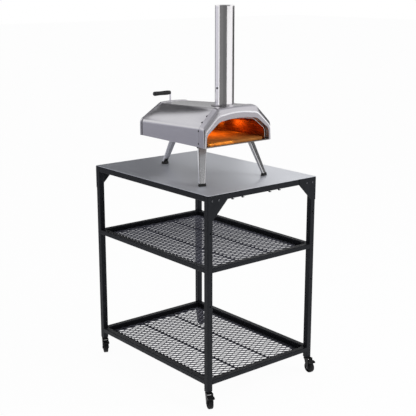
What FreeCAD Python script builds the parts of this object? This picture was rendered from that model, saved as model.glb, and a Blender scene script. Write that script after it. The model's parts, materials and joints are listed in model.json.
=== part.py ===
import FreeCAD, Part
import math
import os

# Outdoor pizza oven on a wheeled steel table, in millimetres, +Z up.
# Every size below is taken from the table's centre on the floor. The origin
# of the part lies table_back in front of it, in the middle of the whole box.

# Table frame
table_width = 600.0
table_depth = 800.0
table_height = 900.0
table_back = 18.0
worktop_sheet = 1.5
tube = 25.0
tube_wall = 1.5
shelf_rail = 20.0
mid_shelf_top = 600.0
low_shelf_top = 118.0
leg_hole_radius = 3.5
leg_holes = (440.0, 745.0)

# Shelves
ledge_width = 30.0
flat_bar = 3.0
cross_bar_width = 9.0
cross_bar_spacing = 183.4
mesh_lap = 8.0
mesh_sheet = 2.5
mesh_columns = 5
mesh_rows = 13
strand_width = 9.0

# Corner plates, their screws and the tool hooks
corner_reach = 100.0
corner_sheet = 2.0
screw_radius = 2.5
screw_head_radius = 4.0
screw_head = 2.5
screw_drop = 23.0
screw_insets = (20.0, 54.0)
hook_pair_centres = (-140.0, 63.0)
hook_pair_half = 27.0
hook_width = 8.0
hook_sheet = 1.5
hook_drop = 6.0
hook_reach = 9.5
hook_tip = 4.0
hook_set_back = 10.0

# Casters
caster_height = 70.0
wheel_diameter = 50.0
wheel_width = 21.0
tread_width = 19.0
tread = 6.0
tread_chamfer = 2.0
hub_radius = 9.0
web = 8.0
wheel_offset = 20.0
axle_radius = 3.0
axle_head_radius = 5.0
axle_head = 1.5
running_gap = 0.05
wheel_side_gap = 1.0
cheek = 2.5
cheek_lead = 4.0
crown_radius = 14.0
crown = 6.5
bridge_inset = 2.0
boss_radius = 8.0
stem_radius = 4.0
stem_collar_radius = 12.0
stem_collar = 3.0
stem_plug = 18.0
rivet_radius = 7.0
rivet_head = 2.5
swivel_gap = 0.3
pedal_pin_radius = 2.0
pedal_barrel_radius = 3.5
pedal_pin_up = 32.0
pedal_pin_ahead = 1.0
pedal_side_gap = 0.5
pedal_reach = 46.0
pedal_width = 30.0
pedal_corner = 3.0
pedal_lead = 1.0
pedal_sheet = 3.0
pedal_drop = 4.0
shoe_depth = 4.0
shoe_gap = 0.3
headings = {"front_left": 22.0, "front_right": 5.0, "back_left": 25.0, "back_right": 12.0}

# Oven: the shell is a folded sheet that tapers towards the back
oven_x = -32.0
oven_lift = 160.0
shell_front = -236.0
shell_back = 162.0
shell_half = 178.0
shell_sheet = 1.5
fold_front = 78.0
fold_back = 66.0
roof_front = 153.0
roof_back = 132.0
roof_crown = 3.0
roof_half_front = 100.0
roof_half_back = 70.0
fold_radius = 16.0
ridge_radius = 7.0
least_fold_radius = 2.0
least_ridge_radius = 1.0

# Oven front: a straight skirt, a band that leans in to the lip, a face and a returned mouth
skirt_depth = 32.0
band_depth = 7.0
surround_proud = 2.0
surround_sheet = 2.0
skirt_half = 182.0
skirt_fold = 76.0
skirt_roof_half = 104.0
skirt_roof = 152.0
skirt_fold_radius = 20.0
skirt_roof_radius = 18.0
lip_half = 181.0
lip_fold_half = 177.0
lip_fold = 60.0
lip_roof_half = 102.0
lip_roof = 126.0
lip_fold_radius = 40.0
lip_roof_radius = 60.0
mouth_half = 171.0
mouth_fold_half = 168.0
mouth_fold = 50.0
mouth_roof_half = 98.0
mouth_roof = 103.0
mouth_fold_radius = 30.0
mouth_roof_radius = 55.0
front_crown = 7.0
mouth_return = 22.0
mouth_sheet = 1.5

# Oven inside
liner_inset = 16.0
liner_sheet = 1.2
liner_gap = 0.5
liner_rim = 4.0
liner_back = 150.0
floor_sheet = 1.5
floor_rim = 8.0
floor_lip = 4.0
stone_side_gap = 10.8
stone_set_back = 13.0
stone_depth = 330.0
stone_thick = 12.0

# Chimney and its baffle
chimney_y = -183.0
chimney_radius = 40.0
chimney_wall = 1.5
chimney_top = 1620.0
flange_radius = 56.0
flange_sheet = 2.0
spigot_height = 14.0
spigot_wall = 1.2
fit_gap = 0.3
baffle_up = 225.0
baffle_radius = 36.0
baffle_sheet = 1.2
baffle_rod_radius = 2.0
baffle_knob_radius = 4.0
baffle_knob = 2.0
baffle_lever = 26.0
baffle_lever_width = 10.0
baffle_lever_sheet = 3.0

# Fuel box at the back, its tray, hatch and handle
cap_depth = 10.0
cap_proud = 3.0
cap_sheet = 1.5
fuel_half = 70.0
fuel_depth = 92.0
fuel_low = 15.0
fuel_high = 90.0
fuel_slope = 32.0
fuel_sheet = 1.5
fire_half = 60.0
fire_low = 24.0
fire_high = 70.0
hatch_half = 50.0
hatch_margin = 12.0
hatch_lap = 6.0
hatch_sheet = 2.0
hatch_plug = 4.0
plug_gap = 1.0
tray_half = 58.0
tray_wall = 14.0
tray_sheet = 1.5
tray_door_lap = 4.0
tray_door_gap = 1.0
tray_slots = 6
tray_slot_width = 5.0
tray_slot_margin = 7.5
tray_tab = 12.0
strap_width = 12.0
strap_sheet = 2.0
strap_right = 44.0
strap_inset = 5.0
grip_up = 162.0
grip_radius = 10.0
grip_length = 92.0
grip_chamfer = 3.0

# Oven legs: folded channels on rubber feet, each with a pivot pin at the top
foot_height = 12.0
leg_top_width = 38.0
leg_foot_width = 26.0
leg_top_depth = 13.0
leg_foot_depth = 10.0
leg_sheet = 1.8
leg_turn = 20.0
foot_margin = 3.0
front_leg_top = (133.0, -202.0)
front_leg_foot = (173.0, -250.0)
back_leg_top = (0.0, 156.0)
back_leg_foot = (0.0, 240.0)
leg_pin_radius = 3.0
leg_pin_drop = 8.0
leg_pin_proud = 4.0
lug_width = 20.0
lug_depth = 8.0
lug_height = 14.0
lug_gap = 0.5

# How far a cutting shape runs past what it cuts, and past the oven's base
overrun = 1.0
below = -20.0

V = FreeCAD.Vector
half_w = table_width / 2
half_d = table_depth / 2
frame_top = table_height - worktop_sheet
oven_base = table_height + oven_lift
corners = {
    "front_left": (-1, -1),
    "front_right": (1, -1),
    "back_left": (-1, 1),
    "back_right": (1, 1),
}
nodes = {}


def box(x0, x1, y0, y1, z0, z1):
    return Part.makeBox(x1 - x0, y1 - y0, z1 - z0, V(x0, y0, z0))


def rod(radius, start, end):
    run = V(*end) - V(*start)
    return Part.makeCylinder(radius, run.Length, V(*start), run)


def polygon(points):
    corner_points = [V(*point) for point in points]
    return Part.makePolygon(corner_points + corner_points[:1])


def prism(points, run):
    return Part.Face(polygon(points)).extrude(V(*run))


def joined(*shapes):
    whole = shapes[0].fuse(list(shapes[1:]))
    return whole.removeSplitter()


def keep(name, *solids):
    nodes[name] = Part.makeCompound(list(solids)) if len(solids) > 1 else solids[0]


# Table frame

def hollow(outer, along):
    """A square tube's solid: the outer box less its bore along one axis."""
    lows = [outer[0], outer[2], outer[4]]
    highs = [outer[1], outer[3], outer[5]]
    for axis in range(3):
        if axis != along:
            lows[axis] += tube_wall
            highs[axis] -= tube_wall
    bore = box(lows[0], highs[0], lows[1], highs[1], lows[2], highs[2])
    return box(*outer).cut(bore)


def screw_places(side, end):
    """Screws through one corner plate: one into the leg, one into the rail."""
    z = table_height - screw_drop
    return [(side * (half_w - inset), end * half_d, z) for inset in screw_insets]


def screw_hole(place, end):
    x, y, z = place
    return rod(screw_radius, (x, y - end * tube / 2, z), (x, y + end * corner_sheet * 2, z))


def table_leg(side, end):
    x = side * (half_w - tube / 2)
    y = end * (half_d - tube / 2)
    half = tube / 2
    leg = hollow((x - half, x + half, y - half, y + half, caster_height, frame_top), 2)
    for z in leg_holes:
        leg = leg.cut(rod(leg_hole_radius, (x, y - tube, z), (x, y + tube, z)))
    return leg.cut(screw_hole(screw_places(side, end)[0], end))


def rail_pair(name, top, height):
    """Two rails across the width and two along the depth, between the legs."""
    low = top - height
    for end, word in ((-1, "front"), (1, "back")):
        outer_y = end * half_d
        inner_y = end * (half_d - tube)
        y0, y1 = min(outer_y, inner_y), max(outer_y, inner_y)
        rail = hollow((tube - half_w, half_w - tube, y0, y1, low, top), 0)
        if name == "top":
            for side in (-1, 1):
                rail = rail.cut(screw_hole(screw_places(side, end)[1], end))
        keep(name + "_rail_" + word, rail)
    for side, word in ((-1, "left"), (1, "right")):
        outer_x = side * half_w
        inner_x = side * (half_w - tube)
        x0, x1 = min(outer_x, inner_x), max(outer_x, inner_x)
        rail = hollow((x0, x1, tube - half_d, half_d - tube, low, top), 1)
        keep(name + "_rail_" + word, rail)


def shelf_supports(low):
    """Four flat ledge bars inside the rails and two cross bars between them."""
    inner_x = half_w - tube
    inner_y = half_d - tube
    open_x = inner_x - ledge_width
    open_y = inner_y - ledge_width
    high = low + flat_bar
    bars = []
    for side in (-1, 1):
        x0, x1 = sorted((side * open_x, side * inner_x))
        bars.append(box(x0, x1, -inner_y, inner_y, low, high))
    for end in (-1, 1):
        y0, y1 = sorted((end * open_y, end * inner_y))
        bars.append(box(-open_x, open_x, y0, y1, low, high))
    for side in (-1, 1):
        x = side * cross_bar_spacing / 2
        half = cross_bar_width / 2
        bars.append(box(x - half, x + half, -open_y, open_y, low, high))
    return bars


def diamond(x, y, z, half_x, half_y):
    points = [(x - half_x, y, z), (x, y - half_y, z), (x + half_x, y, z), (x, y + half_y, z)]
    return Part.Face(polygon(points))


def mesh_panel(z):
    """Expanded sheet: a net of diamonds whose sheared edges end in teeth."""
    size_x = 2 * (half_w - tube - ledge_width + mesh_lap)
    size_y = 2 * (half_d - tube - ledge_width + mesh_lap)
    pitch_x = size_x / mesh_columns
    pitch_y = size_y / mesh_rows
    to_edge = pitch_x * pitch_y / 2 / math.hypot(pitch_x, pitch_y)
    share = (to_edge - strand_width / 2) / to_edge
    gaps = []
    for i in range(2 * mesh_columns + 1):
        for j in range(2 * mesh_rows + 1):
            if (i + j) % 2 == 0:
                x = i * pitch_x / 2 - size_x / 2
                y = j * pitch_y / 2 - size_y / 2
                gaps.append(diamond(x, y, z, share * pitch_x / 2, share * pitch_y / 2))
    corner = V(-size_x / 2, -size_y / 2, z)
    net = Part.makePlane(size_x, size_y, corner).cut(gaps)
    return net.Faces[0].extrude(V(0, 0, mesh_sheet))


def corner_plate(side, end):
    """A plate over leg and rail, its inner corner cut at 45 degrees."""
    drop = corner_reach - tube
    outline = [
        (half_w, frame_top),
        (half_w - corner_reach, frame_top),
        (half_w - corner_reach, frame_top - tube),
        (half_w - tube, frame_top - tube - drop),
        (half_w, frame_top - tube - drop),
    ]
    points = [(side * x, end * half_d, z) for x, z in outline]
    plate = prism(points, (0, end * corner_sheet, 0))
    for place in screw_places(side, end):
        plate = plate.cut(screw_hole(place, end))
    return plate


def corner_screw(place, end):
    x, y, z = place
    face = y + end * corner_sheet
    shank = rod(screw_radius, (x, y - end * tube_wall, z), (x, face, z))
    head = rod(screw_head_radius, (x, face, z), (x, face + end * screw_head, z))
    return joined(shank, head)


def tool_hook(x):
    """A flat strip under the front rail, bent forwards and up at its tip."""
    back = -half_d + hook_set_back
    top = frame_top - tube
    low = top - hook_drop
    front = back - hook_reach
    outline = [
        (back, top),
        (back, low),
        (front, low),
        (front, low + hook_tip),
        (front + hook_sheet, low + hook_tip),
        (front + hook_sheet, low + hook_sheet),
        (back - hook_sheet, low + hook_sheet),
        (back - hook_sheet, top),
    ]
    points = [(x - hook_width / 2, y, z) for y, z in outline]
    return prism(points, (hook_width, 0, 0))


def build_frame():
    for name, (side, end) in corners.items():
        keep("leg_" + name, table_leg(side, end))
        keep("corner_plate_" + name, corner_plate(side, end))
    rail_pair("top", frame_top, tube)
    for name, top in (("mid", mid_shelf_top), ("low", low_shelf_top)):
        rail_pair(name, top, shelf_rail)
        low = top - shelf_rail
        keep(name + "_shelf_bars", *shelf_supports(low))
        keep(name + "_shelf_mesh", mesh_panel(low + flat_bar))
    screws = []
    for side, end in corners.values():
        screws += [corner_screw(place, end) for place in screw_places(side, end)]
    keep("corner_screws", *screws)
    places = [middle + hand * hook_pair_half for middle in hook_pair_centres for hand in (-1, 1)]
    keep("tool_hooks", *[tool_hook(x) for x in places])
    keep("worktop", box(-half_w, half_w, -half_d, half_d, frame_top, table_height))


# Casters: each is drawn with its wheel towards +X of the swivel axis

fork_top = caster_height - stem_collar - swivel_gap
fork_under = fork_top - crown
wheel_radius = wheel_diameter / 2
cheek_inner = wheel_width / 2 + wheel_side_gap
cheek_outer = cheek_inner + cheek
pedal_pin = (wheel_offset + pedal_pin_ahead, wheel_radius + pedal_pin_up)


def turned(shape, name):
    """Swings a caster piece to its heading and sets it under its leg."""
    side, end = corners[name]
    placed = shape.copy()
    placed.rotate(V(0, 0, 0), V(0, 0, 1), -90 - headings[name])
    placed.translate(V(side * (half_w - tube / 2), end * (half_d - tube / 2), 0))
    return placed


def caster_stem(side, end):
    x = side * (half_w - tube / 2)
    y = end * (half_d - tube / 2)
    half = tube / 2 - tube_wall
    plug = box(x - half, x + half, y - half, y + half, caster_height, caster_height + stem_plug)
    collar = rod(stem_collar_radius, (x, y, caster_height - stem_collar), (x, y, caster_height))
    rivet_top = fork_under - swivel_gap
    stem = rod(stem_radius, (x, y, rivet_top), (x, y, caster_height))
    rivet = rod(rivet_radius, (x, y, rivet_top - rivet_head), (x, y, rivet_top))
    return joined(plug, collar, stem, rivet)


def fork():
    cheeks = []
    for y in (-cheek_outer, cheek_inner):
        outline = [
            (0, y, fork_under),
            (0, y, fork_top),
            (wheel_offset + cheek_lead, y, fork_top),
            (wheel_offset + boss_radius, y, wheel_radius),
            (wheel_offset - boss_radius, y, wheel_radius),
        ]
        boss = rod(boss_radius, (wheel_offset, y, wheel_radius), (wheel_offset, y + cheek, wheel_radius))
        cheeks += [prism(outline, (0, cheek, 0)), boss]
    head = rod(crown_radius, (0, 0, fork_under), (0, 0, fork_top))
    bridge = box(0, crown_radius - bridge_inset, -cheek_outer, cheek_outer, fork_under, fork_top)
    body = joined(head, bridge, *cheeks)
    bore_low = fork_under - overrun
    stem_bore = rod(stem_radius + running_gap, (0, 0, bore_low), (0, 0, fork_top + overrun))
    pin_x, pin_z = pedal_pin
    reach = cheek_outer + overrun
    axle_bore = rod(axle_radius, (wheel_offset, -reach, wheel_radius), (wheel_offset, reach, wheel_radius))
    pin_bore = rod(pedal_pin_radius + running_gap, (pin_x, -reach, pin_z), (pin_x, reach, pin_z))
    return body.cut([stem_bore, axle_bore, pin_bore])


def axle():
    ends = [(wheel_offset, hand * cheek_outer, wheel_radius) for hand in (-1, 1)]
    pieces = [rod(axle_radius, *ends)]
    for hand, start in zip((-1, 1), ends):
        end = (wheel_offset, hand * (cheek_outer + axle_head), wheel_radius)
        pieces.append(rod(axle_head_radius, start, end))
    return joined(*pieces)


def wheel():
    """Revolved section: bore, hub, thin web and a crowned tread."""
    bore = axle_radius + running_gap
    rim = wheel_radius - tread
    shoulder = tread_width / 2
    crowned = wheel_radius - tread_chamfer
    outline = [
        (bore, -wheel_width / 2),
        (hub_radius, -wheel_width / 2),
        (hub_radius, -web / 2),
        (rim, -web / 2),
        (rim, -shoulder),
        (crowned, -shoulder),
        (wheel_radius, tread_chamfer - shoulder),
        (wheel_radius, shoulder - tread_chamfer),
        (crowned, shoulder),
        (rim, shoulder),
        (rim, web / 2),
        (hub_radius, web / 2),
        (hub_radius, wheel_width / 2),
        (bore, wheel_width / 2),
    ]
    points = [(wheel_offset + radius, y, wheel_radius) for radius, y in outline]
    section = Part.Face(polygon(points))
    return section.revolve(V(wheel_offset, 0, wheel_radius), V(0, 1, 0), 360)


def brake_pedal():
    """Barrel on two trunnions, a lever that widens past the fork, and a shoe."""
    pin_x, pin_z = pedal_pin
    inside = cheek_inner - pedal_side_gap
    trunnion = rod(pedal_pin_radius, (pin_x, -cheek_outer, pin_z), (pin_x, cheek_outer, pin_z))
    barrel = rod(pedal_barrel_radius, (pin_x, -inside, pin_z), (pin_x, inside, pin_z))
    top = pin_z + pedal_barrel_radius
    tip_x = pedal_reach
    wide_x = wheel_offset + boss_radius + pedal_lead
    corner = pedal_corner
    tip_top = top - pedal_drop * 2
    side_view = [
        (pin_x, top),
        (tip_x, tip_top),
        (tip_x, tip_top - pedal_sheet),
        (pin_x, top - pedal_drop - pedal_sheet),
    ]
    lever = prism([(x, -pedal_width / 2, z) for x, z in side_view], (0, pedal_width, 0))
    plan = [
        (pin_x, -inside),
        (wide_x, -inside),
        (wide_x + corner, -pedal_width / 2),
        (tip_x - corner, -pedal_width / 2),
        (tip_x, corner - pedal_width / 2),
        (tip_x, pedal_width / 2 - corner),
        (tip_x - corner, pedal_width / 2),
        (wide_x + corner, pedal_width / 2),
        (wide_x, inside),
        (pin_x, inside),
    ]
    pad = lever.common(prism([(x, y, wheel_radius) for x, y in plan], (0, 0, wheel_diameter)))
    shoe_low = 2 * wheel_radius + shoe_gap
    shoe = box(pin_x, pin_x + shoe_depth, -inside / 2, inside / 2, shoe_low, pin_z)
    return joined(trunnion, barrel, pad, shoe)


def build_casters():
    keep("caster_stems", *[caster_stem(side, end) for side, end in corners.values()])
    makers = ((fork, "fork"), (axle, "axle"), (wheel, "wheel"), (brake_pedal, "brake_pedal"))
    for maker, word in makers:
        piece = maker()
        for name in corners:
            keep(word + "_" + name, turned(piece, name))


# Oven sections, drawn in XZ about the oven's middle plane

def slope_inset(half, fold, roof_half, roof, inset):
    """The folds of a section drawn inset inside another one."""
    run = half - roof_half
    rise = roof - fold
    length = math.hypot(run, rise)
    in_x = -inset * rise / length
    in_z = -inset * run / length
    pitch = rise / run
    new_fold = fold + in_z + pitch * (inset + in_x)
    new_roof_half = half + in_x - (roof - inset - fold - in_z) / pitch
    return new_fold, new_roof_half


def arch(y, base_half, half, fold, roof_half, roof, bottom, fold_round, roof_round, rise):
    """A closed arch with rounded folds, a crowned roof and a straight bottom edge."""
    right = [(base_half, bottom, 0), (half, fold, fold_round), (roof_half, roof, roof_round)]
    left = [(-x, z, turn) for x, z, turn in reversed(right)]
    corner_list = right + left
    edges = []
    first = None
    last = None
    for index, (x, z, turn) in enumerate(corner_list):
        here = V(x, 0, z)
        if turn == 0:
            start = end = here
        else:
            before = V(corner_list[index - 1][0], 0, corner_list[index - 1][1]) - here
            after_point = corner_list[(index + 1) % len(corner_list)]
            after = V(after_point[0], 0, after_point[1]) - here
            before.normalize()
            after.normalize()
            half_angle = before.getAngle(after) / 2
            back = turn / math.tan(half_angle)
            start = here + before * back
            end = here + after * back
            middle = before + after
            middle.normalize()
            bulge = here + middle * (turn / math.sin(half_angle) - turn)
        if index == len(right):
            edges.append(Part.Arc(last, V(0, 0, roof + rise), start).toShape())
        elif last is not None:
            edges.append(Part.LineSegment(last, start).toShape())
        if turn != 0:
            edges.append(Part.Arc(start, bulge, end).toShape())
        first = first or start
        last = end
    edges.append(Part.LineSegment(last, first).toShape())
    wire = Part.Wire(edges)
    wire.translate(V(oven_x, y, oven_base))
    return wire


def shell_sizes(y):
    """Fold and roof of the shell at one depth, by its straight taper."""
    share = (y - shell_front) / (shell_back - shell_front)
    fold = fold_front + share * (fold_back - fold_front)
    roof_half = roof_half_front + share * (roof_half_back - roof_half_front)
    roof = roof_front + share * (roof_back - roof_front)
    return fold, roof_half, roof


def shell_arch(y, inset, bottom):
    fold, roof_half, roof = shell_sizes(y)
    new_fold, new_roof_half = slope_inset(shell_half, fold, roof_half, roof, inset)
    half = shell_half - inset
    fold_round = max(fold_radius - inset, least_fold_radius)
    ridge_round = max(ridge_radius - inset, least_ridge_radius)
    top = roof - inset
    rise = roof_crown
    return arch(y, half, half, new_fold, new_roof_half, top, bottom, fold_round, ridge_round, rise)


def skirt_arch(y, inset, bottom):
    half = skirt_half - inset
    fold, roof_half = slope_inset(skirt_half, skirt_fold, skirt_roof_half, skirt_roof, inset)
    return arch(y, half, half, fold, roof_half, skirt_roof - inset, bottom,
                skirt_fold_radius - inset, skirt_roof_radius - inset, roof_crown)


def foot_half(half, fold_half, fold, bottom):
    """Half width at the bottom edge of a side that leans in from the oven's base to its fold."""
    return half - bottom * (half - fold_half) / fold


def lip_arch(y, inset, bottom):
    fold, roof_half = slope_inset(lip_fold_half, lip_fold, lip_roof_half, lip_roof, inset)
    foot = foot_half(lip_half, lip_fold_half, lip_fold, bottom) - inset
    return arch(y, foot, lip_fold_half - inset, fold, roof_half, lip_roof - inset, bottom,
                lip_fold_radius - inset, lip_roof_radius - inset, front_crown)


def mouth_arch(y, inset, bottom):
    fold, roof_half = slope_inset(mouth_fold_half, mouth_fold, mouth_roof_half, mouth_roof, inset)
    foot = foot_half(mouth_half, mouth_fold_half, mouth_fold, bottom) - inset
    return arch(y, foot, mouth_fold_half - inset, fold, roof_half, mouth_roof - inset, bottom,
                mouth_fold_radius - inset, mouth_roof_radius - inset, front_crown)


def loft(*wires):
    return Part.makeLoft(list(wires), True, True)


def roof_height(y):
    """Height of the crowned roof over the oven's middle plane."""
    return oven_base + shell_sizes(y)[2] + roof_crown


def roof_slab(low, high):
    """A slab between two planes parallel to the sloping roof, over the chimney."""
    y0 = chimney_y - 2 * flange_radius
    y1 = chimney_y + 2 * flange_radius
    reach = 2 * flange_radius
    points = [
        (oven_x - reach, y0, roof_height(y0) + low),
        (oven_x - reach, y1, roof_height(y1) + low),
        (oven_x - reach, y1, roof_height(y1) + high),
        (oven_x - reach, y0, roof_height(y0) + high),
    ]
    return prism(points, (2 * reach, 0, 0))


def flue(radius, low, high):
    return rod(radius, (oven_x, chimney_y, low), (oven_x, chimney_y, high))


spigot_radius = chimney_radius - chimney_wall - fit_gap
flue_radius = spigot_radius - spigot_wall
skirt_front = shell_front - skirt_depth
oven_front = skirt_front - band_depth
mouth_back = oven_front + mouth_return
liner_front = mouth_back + liner_gap


def oven_shell():
    skin = loft(shell_arch(shell_front, 0, 0), shell_arch(shell_back, 0, 0))
    ends = [shell_arch(y, shell_sheet, below) for y in (shell_front, shell_back)]
    void = loft(*ends)
    roof = roof_height(chimney_y)
    spigot = flue(spigot_radius, roof - flange_radius, roof + spigot_height)
    spigot = spigot.cut(roof_slab(-4 * flange_radius, fit_gap - shell_sheet))
    whole = joined(skin.cut(void), spigot)
    return whole.cut(flue(flue_radius, roof - flange_radius, roof + 2 * spigot_height))


def oven_surround():
    """The deep front: a skirt, a band that leans in to the lip, a face and a returned mouth."""
    rear = shell_arch(shell_front, -surround_proud, 0)
    skirt = loft(rear, skirt_arch(skirt_front, 0, 0))
    band = loft(skirt_arch(skirt_front, 0, 0), lip_arch(oven_front, 0, 0))
    inset = surround_sheet
    face_back = oven_front + surround_sheet
    inner_rear = shell_arch(shell_front, inset, below)
    skirt_void = loft(inner_rear, skirt_arch(skirt_front, inset, below))
    band_void = loft(skirt_arch(skirt_front, inset, below), lip_arch(face_back, inset, below))
    body = joined(skirt, band).cut([skirt_void, band_void])
    collar_front = mouth_arch(oven_front + surround_sheet / 2, -mouth_sheet, 0)
    collar = loft(collar_front, mouth_arch(mouth_back, -mouth_sheet, 0))
    ends = [mouth_arch(y, 0, below) for y in (oven_front - overrun, mouth_back + overrun)]
    return joined(body, collar).cut(loft(*ends))


def oven_liner():
    """The inner arch, closed at its front by a rim just behind the mouth."""
    rest = floor_sheet
    outer = loft(shell_arch(liner_front, liner_inset, rest), shell_arch(liner_back, liner_inset, rest))
    inset = liner_inset + liner_sheet
    rim_back = liner_front + liner_sheet
    void = loft(*[shell_arch(y, inset, below) for y in (rim_back, liner_back)])
    ends = (liner_front - overrun, rim_back + overrun)
    doorway = loft(*[mouth_arch(y, liner_rim, below) for y in ends])
    roof = roof_height(chimney_y)
    throat = flue(flue_radius, roof - flange_radius, roof + overrun)
    return outer.cut([void, doorway, throat])


def oven_floor():
    """A shallow tray with a low lip under the mouth and three pivot lugs."""
    half = shell_half - shell_sheet
    front = oven_front
    base = oven_base
    x0, x1 = oven_x - half, oven_x + half
    tray = box(x0, x1, shell_front, shell_back, base, base + floor_sheet)
    sill_half = foot_half(mouth_half, mouth_fold_half, mouth_fold, floor_lip) - fit_gap
    sill = box(oven_x - sill_half, oven_x + sill_half, front, shell_front, base, base + floor_sheet)
    lip_back = front + floor_sheet
    lip = box(oven_x - sill_half, oven_x + sill_half, front, lip_back, base, base + floor_lip)
    rims = [
        box(x0, x0 + floor_sheet, shell_front, shell_back, base, base + floor_rim),
        box(x1 - floor_sheet, x1, shell_front, shell_back, base, base + floor_rim),
    ]
    lugs = [lug(leg) for leg in oven_legs()]
    return joined(tray, sill, lip, *rims, *lugs)


def baking_stone():
    low = oven_base + floor_sheet
    half = shell_half - liner_inset - liner_sheet - stone_side_gap
    front = oven_front + stone_set_back
    back = front + stone_depth
    stone = box(oven_x - half, oven_x + half, front, back, low, low + stone_thick)
    upright = [edge for edge in stone.Edges if edge.BoundBox.ZLength > stone_thick / 2]
    return stone.makeFillet(stone_thick, upright)


# Oven legs: a leg is its top point, its foot point and the way its face looks

def oven_legs():
    legs = []
    for side in (-1, 1):
        top = (oven_x + side * front_leg_top[0], front_leg_top[1])
        foot = (oven_x + side * front_leg_foot[0], front_leg_foot[1])
        legs.append((top, foot, -90 + side * leg_turn))
    top = (oven_x + back_leg_top[0], back_leg_top[1])
    foot = (oven_x + back_leg_foot[0], back_leg_foot[1])
    legs.append((top, foot, 90))
    return legs


def leg_point(centre, facing, along, inwards, z):
    """A point given by its place along the leg's face and behind it."""
    angle = math.radians(facing)
    out = (math.cos(angle), math.sin(angle))
    across = (-math.sin(angle), math.cos(angle))
    x = centre[0] + across[0] * along - out[0] * inwards
    y = centre[1] + across[1] * along - out[1] * inwards
    return (x, y, z)


def channel_wire(centre, facing, width, depth, z):
    half = width / 2
    outline = [
        (-half, 0),
        (half, 0),
        (half, depth),
        (half - leg_sheet, depth),
        (half - leg_sheet, leg_sheet),
        (leg_sheet - half, leg_sheet),
        (leg_sheet - half, depth),
        (-half, depth),
    ]
    return polygon([leg_point(centre, facing, along, inwards, z) for along, inwards in outline])


def leg_centre(leg, drop):
    """Where the leg's centre line runs at one depth under the oven."""
    top, foot, facing = leg
    share = drop / (oven_lift - foot_height)
    return [top[axis] + share * (foot[axis] - top[axis]) for axis in range(2)]


def pin_line(leg, reach):
    centre = leg_centre(leg, leg_pin_drop)
    z = oven_base - leg_pin_drop
    inwards = leg_sheet + lug_gap + lug_depth / 2
    return [leg_point(centre, leg[2], along, inwards, z) for along in (-reach, reach)]


def leg_channel(leg):
    top, foot, facing = leg
    low = channel_wire(foot, facing, leg_foot_width, leg_foot_depth, table_height + foot_height)
    high = channel_wire(top, facing, leg_top_width, leg_top_depth, oven_base)
    return loft(low, high).cut(rod(leg_pin_radius, *pin_line(leg, leg_top_width)))


def leg_pin(leg):
    return rod(leg_pin_radius, *pin_line(leg, leg_top_width / 2 + leg_pin_proud))


def lug(leg):
    """A block under the floor, along the leg's slope, that the leg's pin passes through."""
    half = lug_width / 2
    near = leg_sheet + lug_gap
    far = near + lug_depth
    low = leg_centre(leg, lug_height)
    high = leg_centre(leg, 0)
    z = oven_base - lug_height
    outline = [(-half, near), (half, near), (half, far), (-half, far)]
    points = [leg_point(low, leg[2], along, inwards, z) for along, inwards in outline]
    block = prism(points, (high[0] - low[0], high[1] - low[1], lug_height))
    return block.cut(rod(leg_pin_radius, *pin_line(leg, leg_top_width)))


def leg_foot(leg):
    """A rubber block, wider on the table than under the leg's end."""
    top, foot, facing = leg
    wires = []
    for margin, z in ((foot_margin, table_height), (foot_margin / 2, table_height + foot_height)):
        half = leg_foot_width / 2 + margin
        low = -margin
        high = leg_foot_depth + margin
        outline = [(-half, low), (half, low), (half, high), (-half, high)]
        wires.append(polygon([leg_point(foot, facing, along, inwards, z) for along, inwards in outline]))
    return loft(*wires)


# Chimney

def chimney():
    """The stack with a flange on the roof, trimmed straight behind the surround."""
    roof = roof_height(chimney_y)
    under = roof - flange_radius
    stack = flue(chimney_radius, under, chimney_top)
    flange = flue(flange_radius, under, roof + flange_radius)
    flange = flange.common(roof_slab(fit_gap, fit_gap + flange_sheet))
    body = joined(stack.cut(roof_slab(-4 * flange_radius, fit_gap)), flange)
    x0, x1 = oven_x - flange_radius, oven_x + flange_radius
    ahead = box(x0, x1, chimney_y - 2 * flange_radius, shell_front + fit_gap, under, chimney_top)
    bore = flue(chimney_radius - chimney_wall, under, chimney_top + overrun)
    z = oven_base + baffle_up
    reach = chimney_radius + overrun
    ends = [(oven_x + side * reach, chimney_y, z) for side in (-1, 1)]
    rod_bore = rod(baffle_rod_radius + running_gap, *ends)
    return body.cut([ahead, bore, rod_bore])


def chimney_baffle():
    """A disc on a cross rod, open at rest, with a knob and a flat lever outside."""
    z = oven_base + baffle_up
    outside = chimney_radius + fit_gap
    half = baffle_sheet / 2
    disc = rod(baffle_radius, (oven_x, chimney_y - half, z), (oven_x, chimney_y + half, z))
    left = oven_x - outside - baffle_knob
    right = oven_x + outside + baffle_lever_sheet
    spindle = rod(baffle_rod_radius, (left, chimney_y, z), (right, chimney_y, z))
    knob = rod(baffle_knob_radius, (left, chimney_y, z), (left + baffle_knob, chimney_y, z))
    wide = baffle_lever_width / 2
    low = z - wide
    lever = box(oven_x + outside, right, chimney_y - wide, chimney_y + wide, low, low + baffle_lever)
    return joined(disc, spindle, knob, lever)


# Fuel box and hatch

box_front = shell_back + cap_depth
box_back = box_front + fuel_depth


def slope_z(y):
    return oven_base + fuel_high - fuel_slope * (y - box_front) / fuel_depth


def fuel_prism(inset, front, back):
    """The fuel box's body in side view, its lid side sloping down to the back."""
    low = oven_base + fuel_low + inset
    drop = inset * math.hypot(1, fuel_slope / fuel_depth)
    points = [
        (oven_x + inset - fuel_half, front, low),
        (oven_x + inset - fuel_half, back, low),
        (oven_x + inset - fuel_half, back, slope_z(back) - drop),
        (oven_x + inset - fuel_half, front, slope_z(front) - drop),
    ]
    return prism(points, (2 * (fuel_half - inset), 0, 0))


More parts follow.
